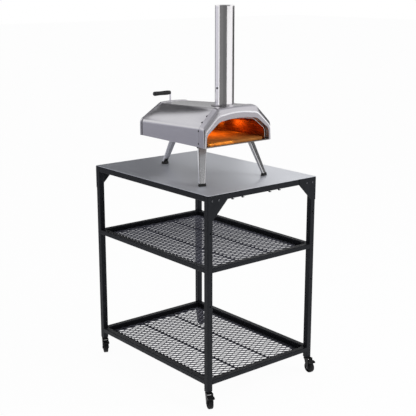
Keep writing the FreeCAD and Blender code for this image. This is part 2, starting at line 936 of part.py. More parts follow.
def fuel_box():
    """Back cap of the oven with the fuel box behind its fire opening."""
    proud = -cap_proud
    cap = loft(shell_arch_at(shell_back, proud), shell_arch_at(box_front, proud))
    inner_back = box_front - cap_sheet
    ends = (shell_back - overrun, inner_back)
    pocket = loft(*[shell_arch_at(y, shell_sheet) for y in ends])
    body = fuel_prism(0, box_front, box_back)
    space = fuel_prism(fuel_sheet, box_front, box_back - fuel_sheet)
    fire = box(oven_x - fire_half, oven_x + fire_half, inner_back - overrun, box_front + overrun,
               oven_base + fire_low, oven_base + fire_high)
    hatch = hatch_block(hatch_half, 0, -fuel_high, fuel_high)
    low = oven_base + fuel_low + fuel_sheet
    half = tray_half + tray_door_gap
    door = box(oven_x - half, oven_x + half, box_back - fuel_sheet - overrun, box_back + overrun,
               low, low + tray_wall + tray_door_gap)
    whole = joined(cap.cut(pocket), body.cut(space))
    return whole.cut([fire, hatch, door])


def shell_arch_at(y, inset):
    """The shell's back section moved to another depth without its taper."""
    wire = shell_arch(shell_back, inset, 0 if inset < 0 else shell_sheet)
    wire.translate(V(0, y - shell_back, 0))
    return wire


def hatch_block(half, grow, low, high):
    """A block through the hatch opening, its top and bottom along the slope."""
    front = box_front + hatch_margin - grow
    back = box_back - hatch_margin + grow
    points = [
        (oven_x - half - grow, front, slope_z(front) + low),
        (oven_x - half - grow, back, slope_z(back) + low),
        (oven_x - half - grow, back, slope_z(back) + high),
        (oven_x - half - grow, front, slope_z(front) + high),
    ]
    return prism(points, (2 * (half + grow), 0, 0))


def fuel_tray():
    """A slotted tray on the box's floor, with the door that closes the back."""
    low = oven_base + fuel_low + fuel_sheet
    front = box_front + cap_sheet
    x0, x1 = oven_x - tray_half, oven_x + tray_half
    door_back = box_back + tray_sheet
    floor = box(x0, x1, front, box_back, low, low + tray_sheet)
    walls = [
        box(x0, x0 + tray_sheet, front, box_back, low, low + tray_wall),
        box(x1 - tray_sheet, x1, front, box_back, low, low + tray_wall),
        box(x0, x1, front, front + tray_sheet, low, low + tray_wall),
    ]
    lap = tray_door_lap
    door = box(x0 - lap, x1 + lap, box_back, door_back, low, low + tray_wall + lap)
    tab_low = low + lap
    tab_back = door_back + tray_tab
    tab = box(oven_x - tray_tab, oven_x + tray_tab, door_back, tab_back, tab_low, tab_low + tray_sheet)
    tray = joined(floor, door, tab, *walls)
    pitch = 2 * tray_half / (tray_slots + 1)
    y0, y1 = front + tray_slot_margin, box_back - tray_slot_margin
    z0, z1 = low - overrun, low + tray_sheet + overrun
    slots = []
    for index in range(tray_slots):
        x = x0 + pitch * (index + 1)
        half = tray_slot_width / 2
        slots.append(box(x - half, x + half, y0, y1, z0, z1))
    return tray.cut(slots)


def strap_place():
    return box_back - hatch_margin - strap_inset


def hatch_lid():
    """Lid with a plug that drops into the opening and an upright strap."""
    high = fit_gap + hatch_sheet
    deep = -fuel_sheet - hatch_plug
    plate = hatch_block(hatch_half, hatch_lap, fit_gap, high)
    plug = hatch_block(hatch_half, -plug_gap, deep, high)
    hollow_plug = hatch_block(hatch_half, -plug_gap - hatch_sheet, deep - overrun, fit_gap)
    y = strap_place()
    x1 = oven_x + strap_right
    top = oven_base + grip_up
    low = slope_z(y) + high - hatch_sheet / 2
    half = strap_width / 2
    strap = box(x1 - strap_sheet, x1, y - half, y + half, low, top)
    eye = rod(half, (x1 - strap_sheet, y, top), (x1, y, top))
    return joined(plate, plug.cut(hollow_plug), strap, eye)


def hatch_grip():
    y = strap_place()
    z = oven_base + grip_up
    end = oven_x + strap_right - strap_sheet
    grip = rod(grip_radius, (end - grip_length, y, z), (end, y, z))
    rims = [edge for edge in grip.Edges if edge.Closed]
    return grip.makeChamfer(grip_chamfer, rims)


def build_oven():
    keep("oven_shell", oven_shell())
    keep("oven_surround", oven_surround())
    keep("oven_liner", oven_liner())
    keep("oven_floor", oven_floor())
    keep("baking_stone", baking_stone())
    keep("fuel_box", fuel_box())
    keep("fuel_tray", fuel_tray())
    keep("hatch_lid", hatch_lid())
    keep("hatch_grip", hatch_grip())
    keep("chimney", chimney())
    keep("chimney_baffle", chimney_baffle())
    legs = oven_legs()
    for word, leg in zip(("front_left", "front_right", "back"), legs):
        keep("oven_leg_" + word, leg_channel(leg))
    keep("oven_feet", *[leg_foot(leg) for leg in legs])
    keep("oven_leg_pins", *[leg_pin(leg) for leg in legs])


def write_parts():
    os.makedirs("parts", exist_ok=True)
    for name, shape in nodes.items():
        shape.translate(V(0, table_back, 0))
        shape.exportStep("parts/" + name + ".step")


build_frame()
build_casters()
build_oven()
write_parts()
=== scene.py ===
import json
import math
from collections import namedtuple

import bmesh
import bpy
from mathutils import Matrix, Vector

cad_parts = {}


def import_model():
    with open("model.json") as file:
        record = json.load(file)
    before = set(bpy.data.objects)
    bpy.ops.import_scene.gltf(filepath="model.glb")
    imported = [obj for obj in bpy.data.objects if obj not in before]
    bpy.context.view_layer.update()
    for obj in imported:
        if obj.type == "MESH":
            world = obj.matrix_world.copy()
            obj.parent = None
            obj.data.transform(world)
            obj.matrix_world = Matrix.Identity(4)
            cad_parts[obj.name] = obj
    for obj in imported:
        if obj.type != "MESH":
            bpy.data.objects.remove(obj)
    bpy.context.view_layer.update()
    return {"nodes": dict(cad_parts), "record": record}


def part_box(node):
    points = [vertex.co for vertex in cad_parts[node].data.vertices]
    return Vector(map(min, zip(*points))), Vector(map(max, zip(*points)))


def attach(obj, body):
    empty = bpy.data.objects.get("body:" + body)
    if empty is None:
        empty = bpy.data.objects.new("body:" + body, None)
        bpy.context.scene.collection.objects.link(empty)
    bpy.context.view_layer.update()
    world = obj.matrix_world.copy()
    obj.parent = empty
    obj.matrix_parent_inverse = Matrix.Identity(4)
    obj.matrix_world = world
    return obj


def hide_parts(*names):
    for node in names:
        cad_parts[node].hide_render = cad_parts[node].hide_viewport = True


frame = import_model()

MM = 0.001

# The table in millimetres. Its centre lies TABLE_BACK behind the frame's origin.
TABLE_BACK = 18.0
TABLE_HALF_X = 300.0
TABLE_HALF_Y = 400.0
TUBE = 25.0
LEG_X = TABLE_HALF_X - TUBE / 2
LEG_Y = TABLE_HALF_Y - TUBE / 2
TUBE_TOP = 898.5
CORNERS = {"front_left": (-1, -1), "front_right": (1, -1), "back_left": (-1, 1), "back_right": (1, 1)}


def at(x, y, z):
    """A point given in millimetres from the table's centre on the floor."""
    return Vector((x, y + TABLE_BACK, z)) * MM


# Materials

class Tree:
    """Adds shader nodes to a node tree and links them."""

    def __init__(self, tree):
        self.tree = tree

    def add(self, kind, **settings):
        """A new node with some of its settings."""
        node = self.tree.nodes.new(kind)
        for key, value in settings.items():
            setattr(node, key, value)
        return node

    def link(self, start, end):
        self.tree.links.new(start, end)

    def ramp(self, value, stops):
        """A colour ramp: stops are (place, colour) from low to high."""
        node = self.add("ShaderNodeValToRGB")
        elements = node.color_ramp.elements
        while len(elements) < len(stops):
            elements.new(0.5)
        for element, (place, colour) in zip(elements, stops):
            element.position = place
            element.color = (*colour, 1.0)
        self.link(value, node.inputs["Fac"])
        return node.outputs["Color"]

    def remap(self, value, low, high, to_low=0.0, to_high=1.0, shape="LINEAR"):
        """A value moved from one range to another and kept inside it."""
        node = self.add("ShaderNodeMapRange", interpolation_type=shape)
        node.inputs["From Min"].default_value = low
        node.inputs["From Max"].default_value = high
        node.inputs["To Min"].default_value = to_low
        node.inputs["To Max"].default_value = to_high
        self.link(value, node.inputs["Value"])
        return node.outputs["Result"]

    def combine(self, operation, *values):
        """Values joined one after another by a sum, a product or the like."""
        result = values[0]
        for value in values[1:]:
            node = self.add("ShaderNodeMath", operation=operation)
            self.link(result, node.inputs[0])
            self.link(value, node.inputs[1])
            result = node.outputs[0]
        return result

    def blend(self, share, first, second):
        """A mix of two colours, each a socket or a plain colour."""
        node = self.add("ShaderNodeMixRGB")
        self.link(share, node.inputs["Fac"])
        for socket, colour in ((node.inputs["Color1"], first), (node.inputs["Color2"], second)):
            if isinstance(colour, tuple):
                socket.default_value = (*colour, 1.0)
            else:
                self.link(colour, socket)
        return node.outputs["Color"]


class Surface(Tree):
    """A material's tree, with its shader and with textures in the piece's own coordinates."""

    def __init__(self, name):
        self.material = bpy.data.materials.new(name)
        self.material.use_nodes = True
        super().__init__(self.material.node_tree)
        self.shader = self.tree.nodes["Principled BSDF"]
        self.place = self.add("ShaderNodeTexCoord").outputs["Object"]

    def noise(self, scale, detail=4.0, roughness=0.5, stretch=(1, 1, 1)):
        """Noise in the piece's own coordinates, stretched along the axes."""
        mapping = self.add("ShaderNodeMapping")
        mapping.inputs["Scale"].default_value = stretch
        self.link(self.place, mapping.inputs["Vector"])
        node = self.add("ShaderNodeTexNoise")
        node.inputs["Scale"].default_value = scale
        node.inputs["Detail"].default_value = detail
        node.inputs["Roughness"].default_value = roughness
        self.link(mapping.outputs["Vector"], node.inputs["Vector"])
        return node.outputs["Fac"]

    def bump(self, value, strength, distance):
        """Raises the surface where a value is high."""
        node = self.add("ShaderNodeBump")
        node.inputs["Strength"].default_value = strength
        node.inputs["Distance"].default_value = distance
        self.link(value, node.inputs["Height"])
        self.link(node.outputs["Normal"], self.shader.inputs["Normal"])

    def glow(self, colour=None):
        """An emission node, its colour left open or set to a plain colour."""
        node = self.add("ShaderNodeEmission")
        if colour:
            node.inputs["Color"].default_value = (*colour, 1.0)
        return node

    def show(self, output):
        """Links a shader's output to the surface in place of the one there."""
        self.link(output, self.tree.nodes["Material Output"].inputs["Surface"])


WHITE = (1.0, 1.0, 1.0)


def grey(value, tint=0.0):
    """A grey, with a little more or less blue."""
    return (value, value, value * (1.0 + tint))


def powder_coat(name, dark, light, roughness):
    """Powder coat: a fine orange-peel bump and faint mottling."""
    nodes = Surface(name)
    colour = nodes.ramp(nodes.noise(14.0, 6.0), [(0.35, grey(dark, 0.3)), (0.7, grey(light, 0.3))])
    nodes.link(colour, nodes.shader.inputs["Base Color"])
    gloss = nodes.remap(nodes.noise(60.0, 3.0), 0.3, 0.7, roughness - 0.05, roughness + 0.07)
    nodes.link(gloss, nodes.shader.inputs["Roughness"])
    nodes.shader.inputs["Specular IOR Level"].default_value = 0.22
    nodes.shader.inputs["Specular Tint"].default_value = (0.82, 0.90, 1.0, 1)
    nodes.bump(nodes.noise(900.0, 2.0), 0.25, 0.0004)
    return nodes.material


def brushed(name, colour, roughness, along, streaks=0.05, bump=0.05, metallic=1.0):
    """Brushed steel: fine streaks along one axis, faint clouding and a soft waviness."""
    nodes = Surface(name)
    stretch = [520.0, 520.0, 520.0]
    stretch[along] = 9.0
    grain = nodes.noise(1.0, 4.0, 0.6, stretch)
    cloud = nodes.noise(6.0, 3.0)
    low = [c * (1.0 - streaks) for c in colour]
    high = [min(1.0, c * (1.0 + streaks)) for c in colour]
    nodes.link(nodes.ramp(grain, [(0.3, low), (0.7, high)]), nodes.shader.inputs["Base Color"])
    nodes.shader.inputs["Metallic"].default_value = metallic
    fine = nodes.remap(grain, 0.3, 0.7, roughness - 0.04, roughness + 0.04)
    broad = nodes.remap(cloud, 0.3, 0.7, -0.02, 0.03)
    nodes.link(nodes.combine("ADD", fine, broad), nodes.shader.inputs["Roughness"])
    nodes.bump(grain, bump, 0.0002)
    return nodes.material


def plain(name, colour, roughness, grain=400.0, metallic=0.0, specular=0.5):
    """An even surface with slight changes of shade and gloss and a fine grain."""
    nodes = Surface(name)
    low = [c * 0.85 for c in colour]
    high = [min(1.0, c * 1.15) for c in colour]
    shades = nodes.ramp(nodes.noise(25.0, 5.0), [(0.3, low), (0.7, high)])
    nodes.link(shades, nodes.shader.inputs["Base Color"])
    nodes.shader.inputs["Metallic"].default_value = metallic
    nodes.shader.inputs["Specular IOR Level"].default_value = specular
    gloss = nodes.remap(nodes.noise(80.0), 0.3, 0.7, roughness - 0.06, roughness + 0.06)
    nodes.link(gloss, nodes.shader.inputs["Roughness"])
    nodes.bump(nodes.noise(grain, 3.0), 0.2, 0.0004)
    return nodes.material


def stone_material():
    """Cordierite tinted dark orange all over as painted fire glow, with lighter and darker baking marks, and
    pores.
    """
    nodes = Surface("cordierite stone")
    # both shades are a saturated orange: painted fire glow, so the stone stays orange under white light
    fire_tint = [(0.42, (0.30, 0.10, 0.015)), (0.62, (0.46, 0.17, 0.028))]
    nodes.link(nodes.ramp(nodes.noise(22.0, 8.0, 0.65), fire_tint), nodes.shader.inputs["Base Color"])
    nodes.shader.inputs["Roughness"].default_value = 0.8
    nodes.bump(nodes.noise(650.0, 4.0), 0.6, 0.0005)
    return nodes.material


def heat_and_fire_tinted_liner():
    """Stainless sheet in deep orange and red bands over a brushed grain: partly the heat tint of the sheet,
    partly painted fire glow that keeps the inside orange under white light.
    """
    nodes = Surface("heat tint and fire glow liner")
    grain = nodes.noise(1.0, 4.0, 0.6, (420.0, 8.0, 420.0))
    patches = nodes.noise(9.0, 5.0, 0.6, (1.0, 1.0, 2.0))
    # the bands are saturated orange and red: heat tint and painted fire glow together
    heat_tint_and_fire_glow = [
        (0.30, (0.16, 0.026, 0.005)),
        (0.48, (0.30, 0.062, 0.010)),
        (0.62, (0.40, 0.10, 0.016)),
        (0.75, (0.22, 0.040, 0.006)),
    ]
    nodes.link(nodes.ramp(patches, heat_tint_and_fire_glow), nodes.shader.inputs["Base Color"])
    nodes.shader.inputs["Metallic"].default_value = 0.7
    nodes.link(nodes.remap(grain, 0.3, 0.7, 0.20, 0.30), nodes.shader.inputs["Roughness"])
    nodes.bump(grain, 0.10, 0.0003)
    return nodes.material


BLACK = powder_coat("frame powder coat", 0.0045, 0.0075, 0.46)
MESH = powder_coat("shelf mesh coat", 0.055, 0.075, 0.42)
TOP = brushed("worktop sheet", (0.74, 0.76, 0.81), 0.34, 1, 0.03, metallic=0.68)
STEEL = brushed("oven stainless", (0.63, 0.62, 0.645), 0.19, 1, 0.04, 0.03)
LEG_STEEL = brushed("leg stainless", (0.74, 0.74, 0.76), 0.24, 2)
# Far lighter than the oven's stainless: a painted sheen, so the mirrored strips of the chimney and the hatch
# lid read white.
STACK_STEEL_PAINTED_SHEEN = brushed("chimney stainless painted sheen", (0.93, 0.91, 0.93), 0.15, 2, 0.03, 0.02)
# A little darker than the shell's stainless: painted shade on the surround.
SHADED_SURROUND_STEEL = brushed("surround stainless painted shade", (0.58, 0.565, 0.60), 0.22, 0, 0.05, 0.06)
# A darker copy of the stainless: painted shade on the face round the mouth and on the chimney's flange.
SHADED_STEEL = brushed("surround face painted shade", (0.42, 0.40, 0.43), 0.24, 0, 0.05, 0.05)
# Polished, so less rough; its near-white colour, far lighter than the stainless round it, is a painted
# highlight along the bead.
BEAD_HIGHLIGHT = brushed("polished bead painted highlight", (0.93, 0.92, 0.95), 0.12, 0, 0.02, 0.02)
RIM_STEEL = brushed("mouth rim stainless", (0.80, 0.78, 0.80), 0.26, 0, 0.03)
LINER = heat_and_fire_tinted_liner()
# A dark steel for the oven's floor sheet; its front lip shows as a dark line under the mouth.
FLOOR_STEEL = plain("dark floor sheet", (0.20, 0.17, 0.155), 0.36, metallic=0.9)
ZINC = plain("zinc plate", (0.62, 0.63, 0.66), 0.30, metallic=1.0)
SCREW = plain("screw plate", (0.16, 0.16, 0.175), 0.36, metallic=0.9)
DARK_STEEL = plain("dark plated steel", (0.05, 0.05, 0.055), 0.4, metallic=0.6)
STONE = stone_material()
RUBBER = plain("wheel rubber", (0.008, 0.008, 0.009), 0.62, grain=900.0, specular=0.22)
FOOT = plain("foot rubber", (0.008, 0.008, 0.008), 0.6)
GRIP = plain("grip nylon", (0.010, 0.010, 0.011), 0.5, grain=1200.0)
CASTER = plain("caster fork enamel", (0.007, 0.007, 0.0075), 0.42, specular=0.25)

SLOTS = {
    "frame_black": BLACK,
    "worktop_grey": TOP,
    "mesh_black": MESH,
    "zinc": ZINC,
    "caster_black": CASTER,
    "wheel_rubber": RUBBER,
    "oven_steel": STEEL,
    "liner_steel": LINER,
    "dark_steel": DARK_STEEL,
    "stone": STONE,
    "grip_black": GRIP,
    "foot_rubber": FOOT,
}

# Nodes whose look differs from the rest of their slot
OWN = {"oven_floor": FLOOR_STEEL, "hatch_lid": STACK_STEEL_PAINTED_SHEEN, "caster_stems": CASTER}
OWN.update((name, DARK_STEEL) for name in frame["nodes"] if name.startswith("axle_"))


def dress_nodes():
    """Every node kept from the frame gets its own or its slot's material."""
    slots = {part["node"]: part["material_slot"] for part in frame["record"]["subparts"]}
    for name, node in frame["nodes"].items():
        node.data.materials.clear()
        node.data.materials.append(OWN.get(name) or SLOTS[slots[name]])


# Mesh helpers

def add_object(name, data):
    """Makes an object and links it to the scene."""
    piece = bpy.data.objects.new(name, data)
    bpy.context.scene.collection.objects.link(piece)
    return piece


def mesh_data(name, bm):
    """Turns a bmesh into mesh data and frees it."""
    data = bpy.data.meshes.new(name)
    bm.to_mesh(data)
    bm.free()
    return data


def add_mesh(name, bm, material, body, smooth_angle=35.0, replaces=()):
    """Makes a piece from a bmesh, smooth except across sharp edges, and seats it."""
    bmesh.ops.recalc_face_normals(bm, faces=bm.faces)
    limit = math.radians(smooth_angle)
    for edge in bm.edges:
        edge.smooth = len(edge.link_faces) == 2 and edge.calc_face_angle(0.0) < limit
    for face in bm.faces:
        face.smooth = True
    data = mesh_data(name, bm)
    data.materials.append(material)
    piece = add_object(name, data)
    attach(piece, body)
    if replaces:
        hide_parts(*replaces)
    return piece


def round_path(corners, steps=6, closed=True, support=0.0):
    """Points along a flat path whose corners (x, y, radius) are rounded.

    With support, one more point lies beside each arc, so that flats shade flat."""
    points = []
    last = len(corners) - 1
    for i, (x, y, radius) in enumerate(corners):
        here = Vector((x, y))
        if radius == 0 or (not closed and i in (0, last)):
            points.append(here)
            continue
        before = (Vector(corners[i - 1][:2]) - here).normalized()
        after = (Vector(corners[(i + 1) % len(corners)][:2]) - here).normalized()
        half = before.angle(after) / 2
        back = radius / math.tan(half)
        centre = here + (before + after).normalized() * (radius / math.sin(half))
        start = here + before * back - centre
        turn = -start.angle_signed(here + after * back - centre)
        if support:
            points.append(here + before * (back + support))
        for k in range(steps + 1):
            cos, sin = math.cos(turn * k / steps), math.sin(turn * k / steps)
            points.append(centre + Vector((start.x * cos - start.y * sin, start.x * sin + start.y * cos)))
        if support:
            points.append(here + after * (back + support))
    return points


def rectangle(low, high, radius, a=0, b=1):
    """Four corners for round_path, from a box's low and high ends along the axes a and b."""
    ends = ((low, low), (high, low), (high, high), (low, high))
    return [(first[a], second[b], radius) for first, second in ends]


def skin(bm, stations, round_stations=False, closed=True, caps=True):
    """Skins stations of points. Closed stations are rings; round_stations joins last to first."""
    made = [[bm.verts.new(point) for point in station] for station in stations]
    count = len(stations[0])
    spans = count if closed else count - 1
    following = made[1:] + made[:1] if round_stations else made[1:]
    for near, far in zip(made, following):
        for i in range(spans):
            j = (i + 1) % count
            bm.faces.new((near[i], near[j], far[j], far[i]))
    if caps and closed and not round_stations:
        bm.faces.new(made[0])
        bm.faces.new(list(reversed(made[-1])))
    if caps and not closed and round_stations:
        bm.faces.new([ring[0] for ring in made])
        bm.faces.new([ring[-1] for ring in reversed(made)])


def turned(bm, profile, centre, axis, segments, hollow=False):
    """A turned piece: profile is (radius, place along the axis), in metres."""
    axis = Vector(axis).normalized()
    side = axis.orthogonal().normalized()
    across = axis.cross(side)
    angles = [2 * math.pi * k / segments for k in range(segments)]
    rings = []
    for radius, along in profile:
        middle = Vector(centre) + axis * along
        rings.append([middle + (side * math.cos(a) + across * math.sin(a)) * radius for a in angles])
    skin(bm, rings, round_stations=hollow, caps=not hollow)


def rod(bm, radius, start, end, centre, axis, segments):
    """A plain cylinder: its radius and its ends along the axis are in millimetres."""
    turned(bm, [(radius * MM, start * MM), (radius * MM, end * MM)], centre, axis, segments)


def rounded_profile(corners, steps):
    """A turned piece's profile in millimetres with rounded corners, given in metres."""
    return [(point.x * MM, point.y * MM) for point in round_path(corners, steps, closed=False)]


def bar(bm, low, high, radius, axis, steps=3):
    """A bar along one axis whose four long edges are rolled."""
    a, b = [i for i in range(3) if i != axis]
    outline = round_path(rectangle(low, high, radius, a, b), steps, support=radius / 4)
    stations = []
    for end in (low[axis], high[axis]):
        ring = []
        for point in outline:
            place = [0.0, 0.0, 0.0]
            place[a], place[b], place[axis] = point.x, point.y, end
            ring.append(Vector(place))
        stations.append(ring)
    skin(bm, stations)


def cut(piece, cutter_bm):
    """Takes a closed shape out of a piece."""
    bmesh.ops.recalc_face_normals(cutter_bm, faces=cutter_bm.faces)
    cutter = add_object("cutter", mesh_data("cutter", cutter_bm))
    modifier = piece.modifiers.new("cut", "BOOLEAN")
    modifier.operation = "DIFFERENCE"
    modifier.solver = "EXACT"
    modifier.object = cutter
    graph = bpy.context.evaluated_depsgraph_get()
    result = bpy.data.meshes.new_from_object(piece.evaluated_get(graph))
    piece.modifiers.clear()
    piece.data = result
    bpy.data.objects.remove(cutter, do_unlink=True)


# Table frame

LEG_HOLES = (440.0, 745.0)
LEG_HOLE_RADIUS = 3.5
ROLL = 0.0022


def tube(name, axis):
    """A tube with rolled corners in place of the node of that name."""
    low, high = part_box(name)
    bm = bmesh.new()
    bar(bm, low, high, ROLL, axis)
    return add_mesh(name + "_tube", bm, BLACK, "table", replaces=(name,))


def frame_tubes():
    """Legs and rails; the legs keep their small through holes."""
    for corner, (side, end) in CORNERS.items():
        leg = tube("leg_" + corner, 2)
        cutter = bmesh.new()
        for z in LEG_HOLES:
            rod(cutter, LEG_HOLE_RADIUS, -20.0, 20.0, at(side * LEG_X, end * LEG_Y, z), (0, 1, 0), 24)
        cut(leg, cutter)
    for level in ("top", "mid", "low"):
        for word, axis in (("front", 0), ("back", 0), ("left", 1), ("right", 1)):
            tube(level + "_rail_" + word, axis)


# Shelf mesh: half openings across a shelf, openings along it, and a strand's sizes in metres
HALF_COLUMNS = 22
ROWS = 28
STRAND = 0.0034
STRAND_SHEET = 0.0014
STRAND_RISE = 0.0053
STRAND_TILT = 0.0003
BOND = 0.0028


def shelf_mesh(level):
    """True-scale expanded sheet: strands that stand steeply and zigzag from bond to bond."""
    name = level + "_shelf_mesh"
    low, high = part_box(name)
    step_x = (high.x - low.x) / HALF_COLUMNS
    step_y = (high.y - low.y) / (2 * ROWS)
    top = low.z + STRAND_RISE
    half = (STRAND - STRAND_SHEET) / 2
    thick = STRAND_SHEET / 2
    bm = bmesh.new()
    for row in range(2 * ROWS):
        stations = []
        middle = low.y + (row + 0.5) * step_y
        for step in range(HALF_COLUMNS + 1):
            side = 1 if (step + row) % 2 else -1
            y = middle + side * (step_y - STRAND) / 2
            for shift in (-BOND, BOND):
                if (step == 0 and shift < 0) or (step == HALF_COLUMNS and shift > 0):
                    continue
                x = min(max(low.x + step * step_x + shift, low.x), high.x)
                stations.append([
                    Vector((x, y + half + thick, low.z + STRAND_TILT)),
                    Vector((x, y + half - thick, low.z)),
                    Vector((x, y - half - thick, top - STRAND_TILT)),
                    Vector((x, y - half + thick, top)),
                ])
        skin(bm, stations)
    add_mesh(name + "_strands", bm, MESH, "table", 20.0, replaces=(name,))


def worktop():
    """Folded sheet: the top and its narrow edges."""
    low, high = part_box("worktop")
    outline = round_path(rectangle(low, high, 0.0015), 4, support=0.001)
    soft = 0.0005
    stations = []
    for inset, z in ((0.0, low.z), (0.0, high.z - soft), (soft * 0.3, high.z - soft * 0.3), (soft, high.z)):
        ring = []
        for p in outline:
            inset_x = math.copysign(inset, p.x)
            inset_y = math.copysign(inset, p.y - TABLE_BACK * MM)
            ring.append(Vector((p.x - inset_x, p.y - inset_y, z)))
        stations.append(ring)
    bm = bmesh.new()
    skin(bm, stations)
    add_mesh("worktop_sheet", bm, TOP, "table", replaces=("worktop",))


# Corner plates and their screws
PLATE_SIDE = 100.0
PLATE_SHEET = 2.0
SCREW_INSETS = (20.0, 54.0)
SCREW_HEIGHT = 877.0
SHANK_RADIUS = 2.5
SHANK_LENGTH = 3.5
SCREW_HEAD = [
    (0, 0, 0), (4.0, 0, 0), (4.0, 1.6, 1.0), (2.2, 2.5, 0.8), (1.9, 2.5, 0.2), (1.5, 1.2, 0), (0, 1.2, 0),
]


def corner_screws():
    """Pan heads with a small drive recess, two on each corner plate, and their shanks."""
    head = rounded_profile(SCREW_HEAD, 3)
    bm = bmesh.new()
    for side, end in CORNERS.values():
        for inset in SCREW_INSETS:
            centre = at(side * (TABLE_HALF_X - inset), end * (TABLE_HALF_Y + PLATE_SHEET), SCREW_HEIGHT)
            turned(bm, head, centre, (0, end, 0), 20)
            rod(bm, SHANK_RADIUS, -SHANK_LENGTH, 0.0, centre, (0, end, 0), 12)
    add_mesh("corner_screw_heads", bm, SCREW, "table", replaces=("corner_screws",))


def corner_plates():
    """Bevelled plates with their inner corner cut at 45 degrees."""
    edge, top = TABLE_HALF_X, TUBE_TOP
    inner, bottom = edge - PLATE_SIDE, top - PLATE_SIDE
    corners = [(edge, top, 1.0), (inner, top, 1.0), (inner, top - TUBE, 2.0), (edge - TUBE, bottom, 2.0),
               (edge, bottom, 1.0)]
    outline = round_path(corners, 3)
    middle_x, middle_z = (edge + inner) / 2, (top + bottom) / 2
    for corner, (side, end) in CORNERS.items():
        stations = []
        for shrink, out in ((0.0, 0.0), (0.0, PLATE_SHEET - 0.4), (0.4, PLATE_SHEET)):
            ring = []
            for p in outline:
                x = p.x + (shrink if p.x < middle_x else -shrink)
                z = p.y + (shrink if p.y < middle_z else -shrink)
                ring.append(at(side * x, end * (TABLE_HALF_Y + out), z))
            stations.append(ring)
        bm = bmesh.new()
        skin(bm, stations)
        name = "corner_plate_" + corner
        add_mesh(name + "_sheet", bm, BLACK, "table", replaces=(name,))


HOOK_PLACES = (-167.0, -113.0, 36.0, 90.0)
HOOK_WIDTH = 8.0


def tool_hooks():
    """Flat strips under the front rail, bent forwards and up."""
    sheet, bend, lift = 1.5, 2.2, 4.0
    back, tip = -390.0, -399.5
    top = TUBE_TOP - TUBE
    low = top - 6.0
    outer = [(back, top, 0), (back, low, bend), (tip, low, bend), (tip, low + lift, 0)]
    inner = [(back - sheet, top, 0), (back - sheet, low + sheet, bend - sheet),
             (tip + sheet, low + sheet, bend - sheet), (tip + sheet, low + lift, 0)]
    outline = round_path(outer, 5, closed=False) + list(reversed(round_path(inner, 5, closed=False)))
    bm = bmesh.new()
    for x in HOOK_PLACES:
        skin(bm, [[at(x + side * HOOK_WIDTH / 2, p.x, p.y) for p in outline] for side in (-1, 1)])
    add_mesh("tool_hook_strips", bm, BLACK, "table", replaces=("tool_hooks",))


# Casters: drawn with the wheel ahead of the swivel axis, then turned to their heading

HEADINGS = {"front_left": 22.0, "front_right": 5.0, "back_left": 25.0, "back_right": 12.0}
WHEEL_OFFSET = 20.0
WHEEL_RADIUS = 25.0
AXLE_RADIUS = 3.0
AXLE_HALF = 14.0

# Outlines of (radius, place along the axle, rounding)
WHEEL_HALF = [
    (3.1, 10.5, 0), (9.0, 10.5, 1.2), (9.4, 6.0, 1.5), (16.5, 5.0, 1.5), (18.6, 8.6, 0.8), (19.6, 9.4, 0.6),
    (23.2, 9.5, 1.8), (WHEEL_RADIUS, 6.5, 3.0), (WHEEL_RADIUS, 0.0, 0),
]
AXLE_HEAD = [
    (0, AXLE_HALF, 0), (5.0, AXLE_HALF, 0), (5.0, AXLE_HALF + 0.9, 0.4), (3.6, AXLE_HALF + 1.5, 0.5),
    (0, AXLE_HALF + 1.5, 0),
]


def caster_place(corner):
    """A caster's centre on the floor, and the directions ahead and across."""
    side, end = CORNERS[corner]
    centre = at(side * LEG_X, end * LEG_Y, 0.0)
    heading = math.radians(-90.0 - HEADINGS[corner])
    ahead = Vector((math.cos(heading), math.sin(heading), 0.0))
    across = Vector((-ahead.y, ahead.x, 0.0))
    return centre, ahead, across


def wheels():
    """Crowned tread with rounded shoulders, a dished web and a raised hub, and a domed axle head."""
    side = rounded_profile(WHEEL_HALF, 4)
    profile = side + [(radius, -along) for radius, along in reversed(side[:-1])]
    head = rounded_profile(AXLE_HEAD, 3)
    for corner in CORNERS:
        centre, ahead, across = caster_place(corner)
        hub = centre + ahead * (WHEEL_OFFSET * MM) + Vector((0, 0, WHEEL_RADIUS * MM))
        wheel = "wheel_" + corner
        bm = bmesh.new()
        turned(bm, profile, hub, across, 64, hollow=True)
        add_mesh("caster_" + wheel, bm, RUBBER, wheel, replaces=(wheel,))
        axle = "axle_" + corner
        bm = bmesh.new()
        for hand in (-1, 1):
            turned(bm, head, hub, across * hand, 24)
        rod(bm, AXLE_RADIUS, -AXLE_HALF, AXLE_HALF, hub, across, 24)
        add_mesh("caster_" + axle, bm, DARK_STEEL, "caster_" + corner, replaces=(axle,))


def fork_lips():
    """The fork's front edge is bent down between its cheeks, behind the brake's barrel."""
    sheet, round_edge, half = 1.4, 0.6, 10.6
    back, front, low, top = 8.0, 12.0, 57.5, 65.4
    corners = [(back, top, 0), (front, top, 1.5), (front, low, round_edge), (front - sheet, low, round_edge),
               (front - sheet, top - sheet, round_edge), (back, top - sheet, 0)]
    outline = round_path(corners, 4, closed=False)
    for corner in CORNERS:
        centre, ahead, across = caster_place(corner)
        stations = []
        for y in (-half, round_edge - half, half - round_edge, half):
            places = [ahead * p.x + across * y + Vector((0, 0, p.y)) for p in outline]
            stations.append([centre + place * MM for place in places])
        bm = bmesh.new()
        skin(bm, stations)
        add_mesh("caster_fork_lip_" + corner, bm, CASTER, "caster_" + corner)


# Oven sections, as in the construction: drawn in XZ about the oven's middle plane

OVEN_X = -32.0
OVEN_BASE = 1060.0
SHELL_FRONT = -236.0
SHELL_BACK = 162.0
SHELL_HALF = 178.0
SHELL_SHEET = 1.5
SKIRT_FRONT = -268.0
OVEN_FRONT = -275.0
MOUTH_BACK = -253.0
MOUTH_RIBS = (-268.0, -262.0, -256.5)
ROOF_CROWN = 3.0
FRONT_CROWN = 7.0
BULGE = 4.0

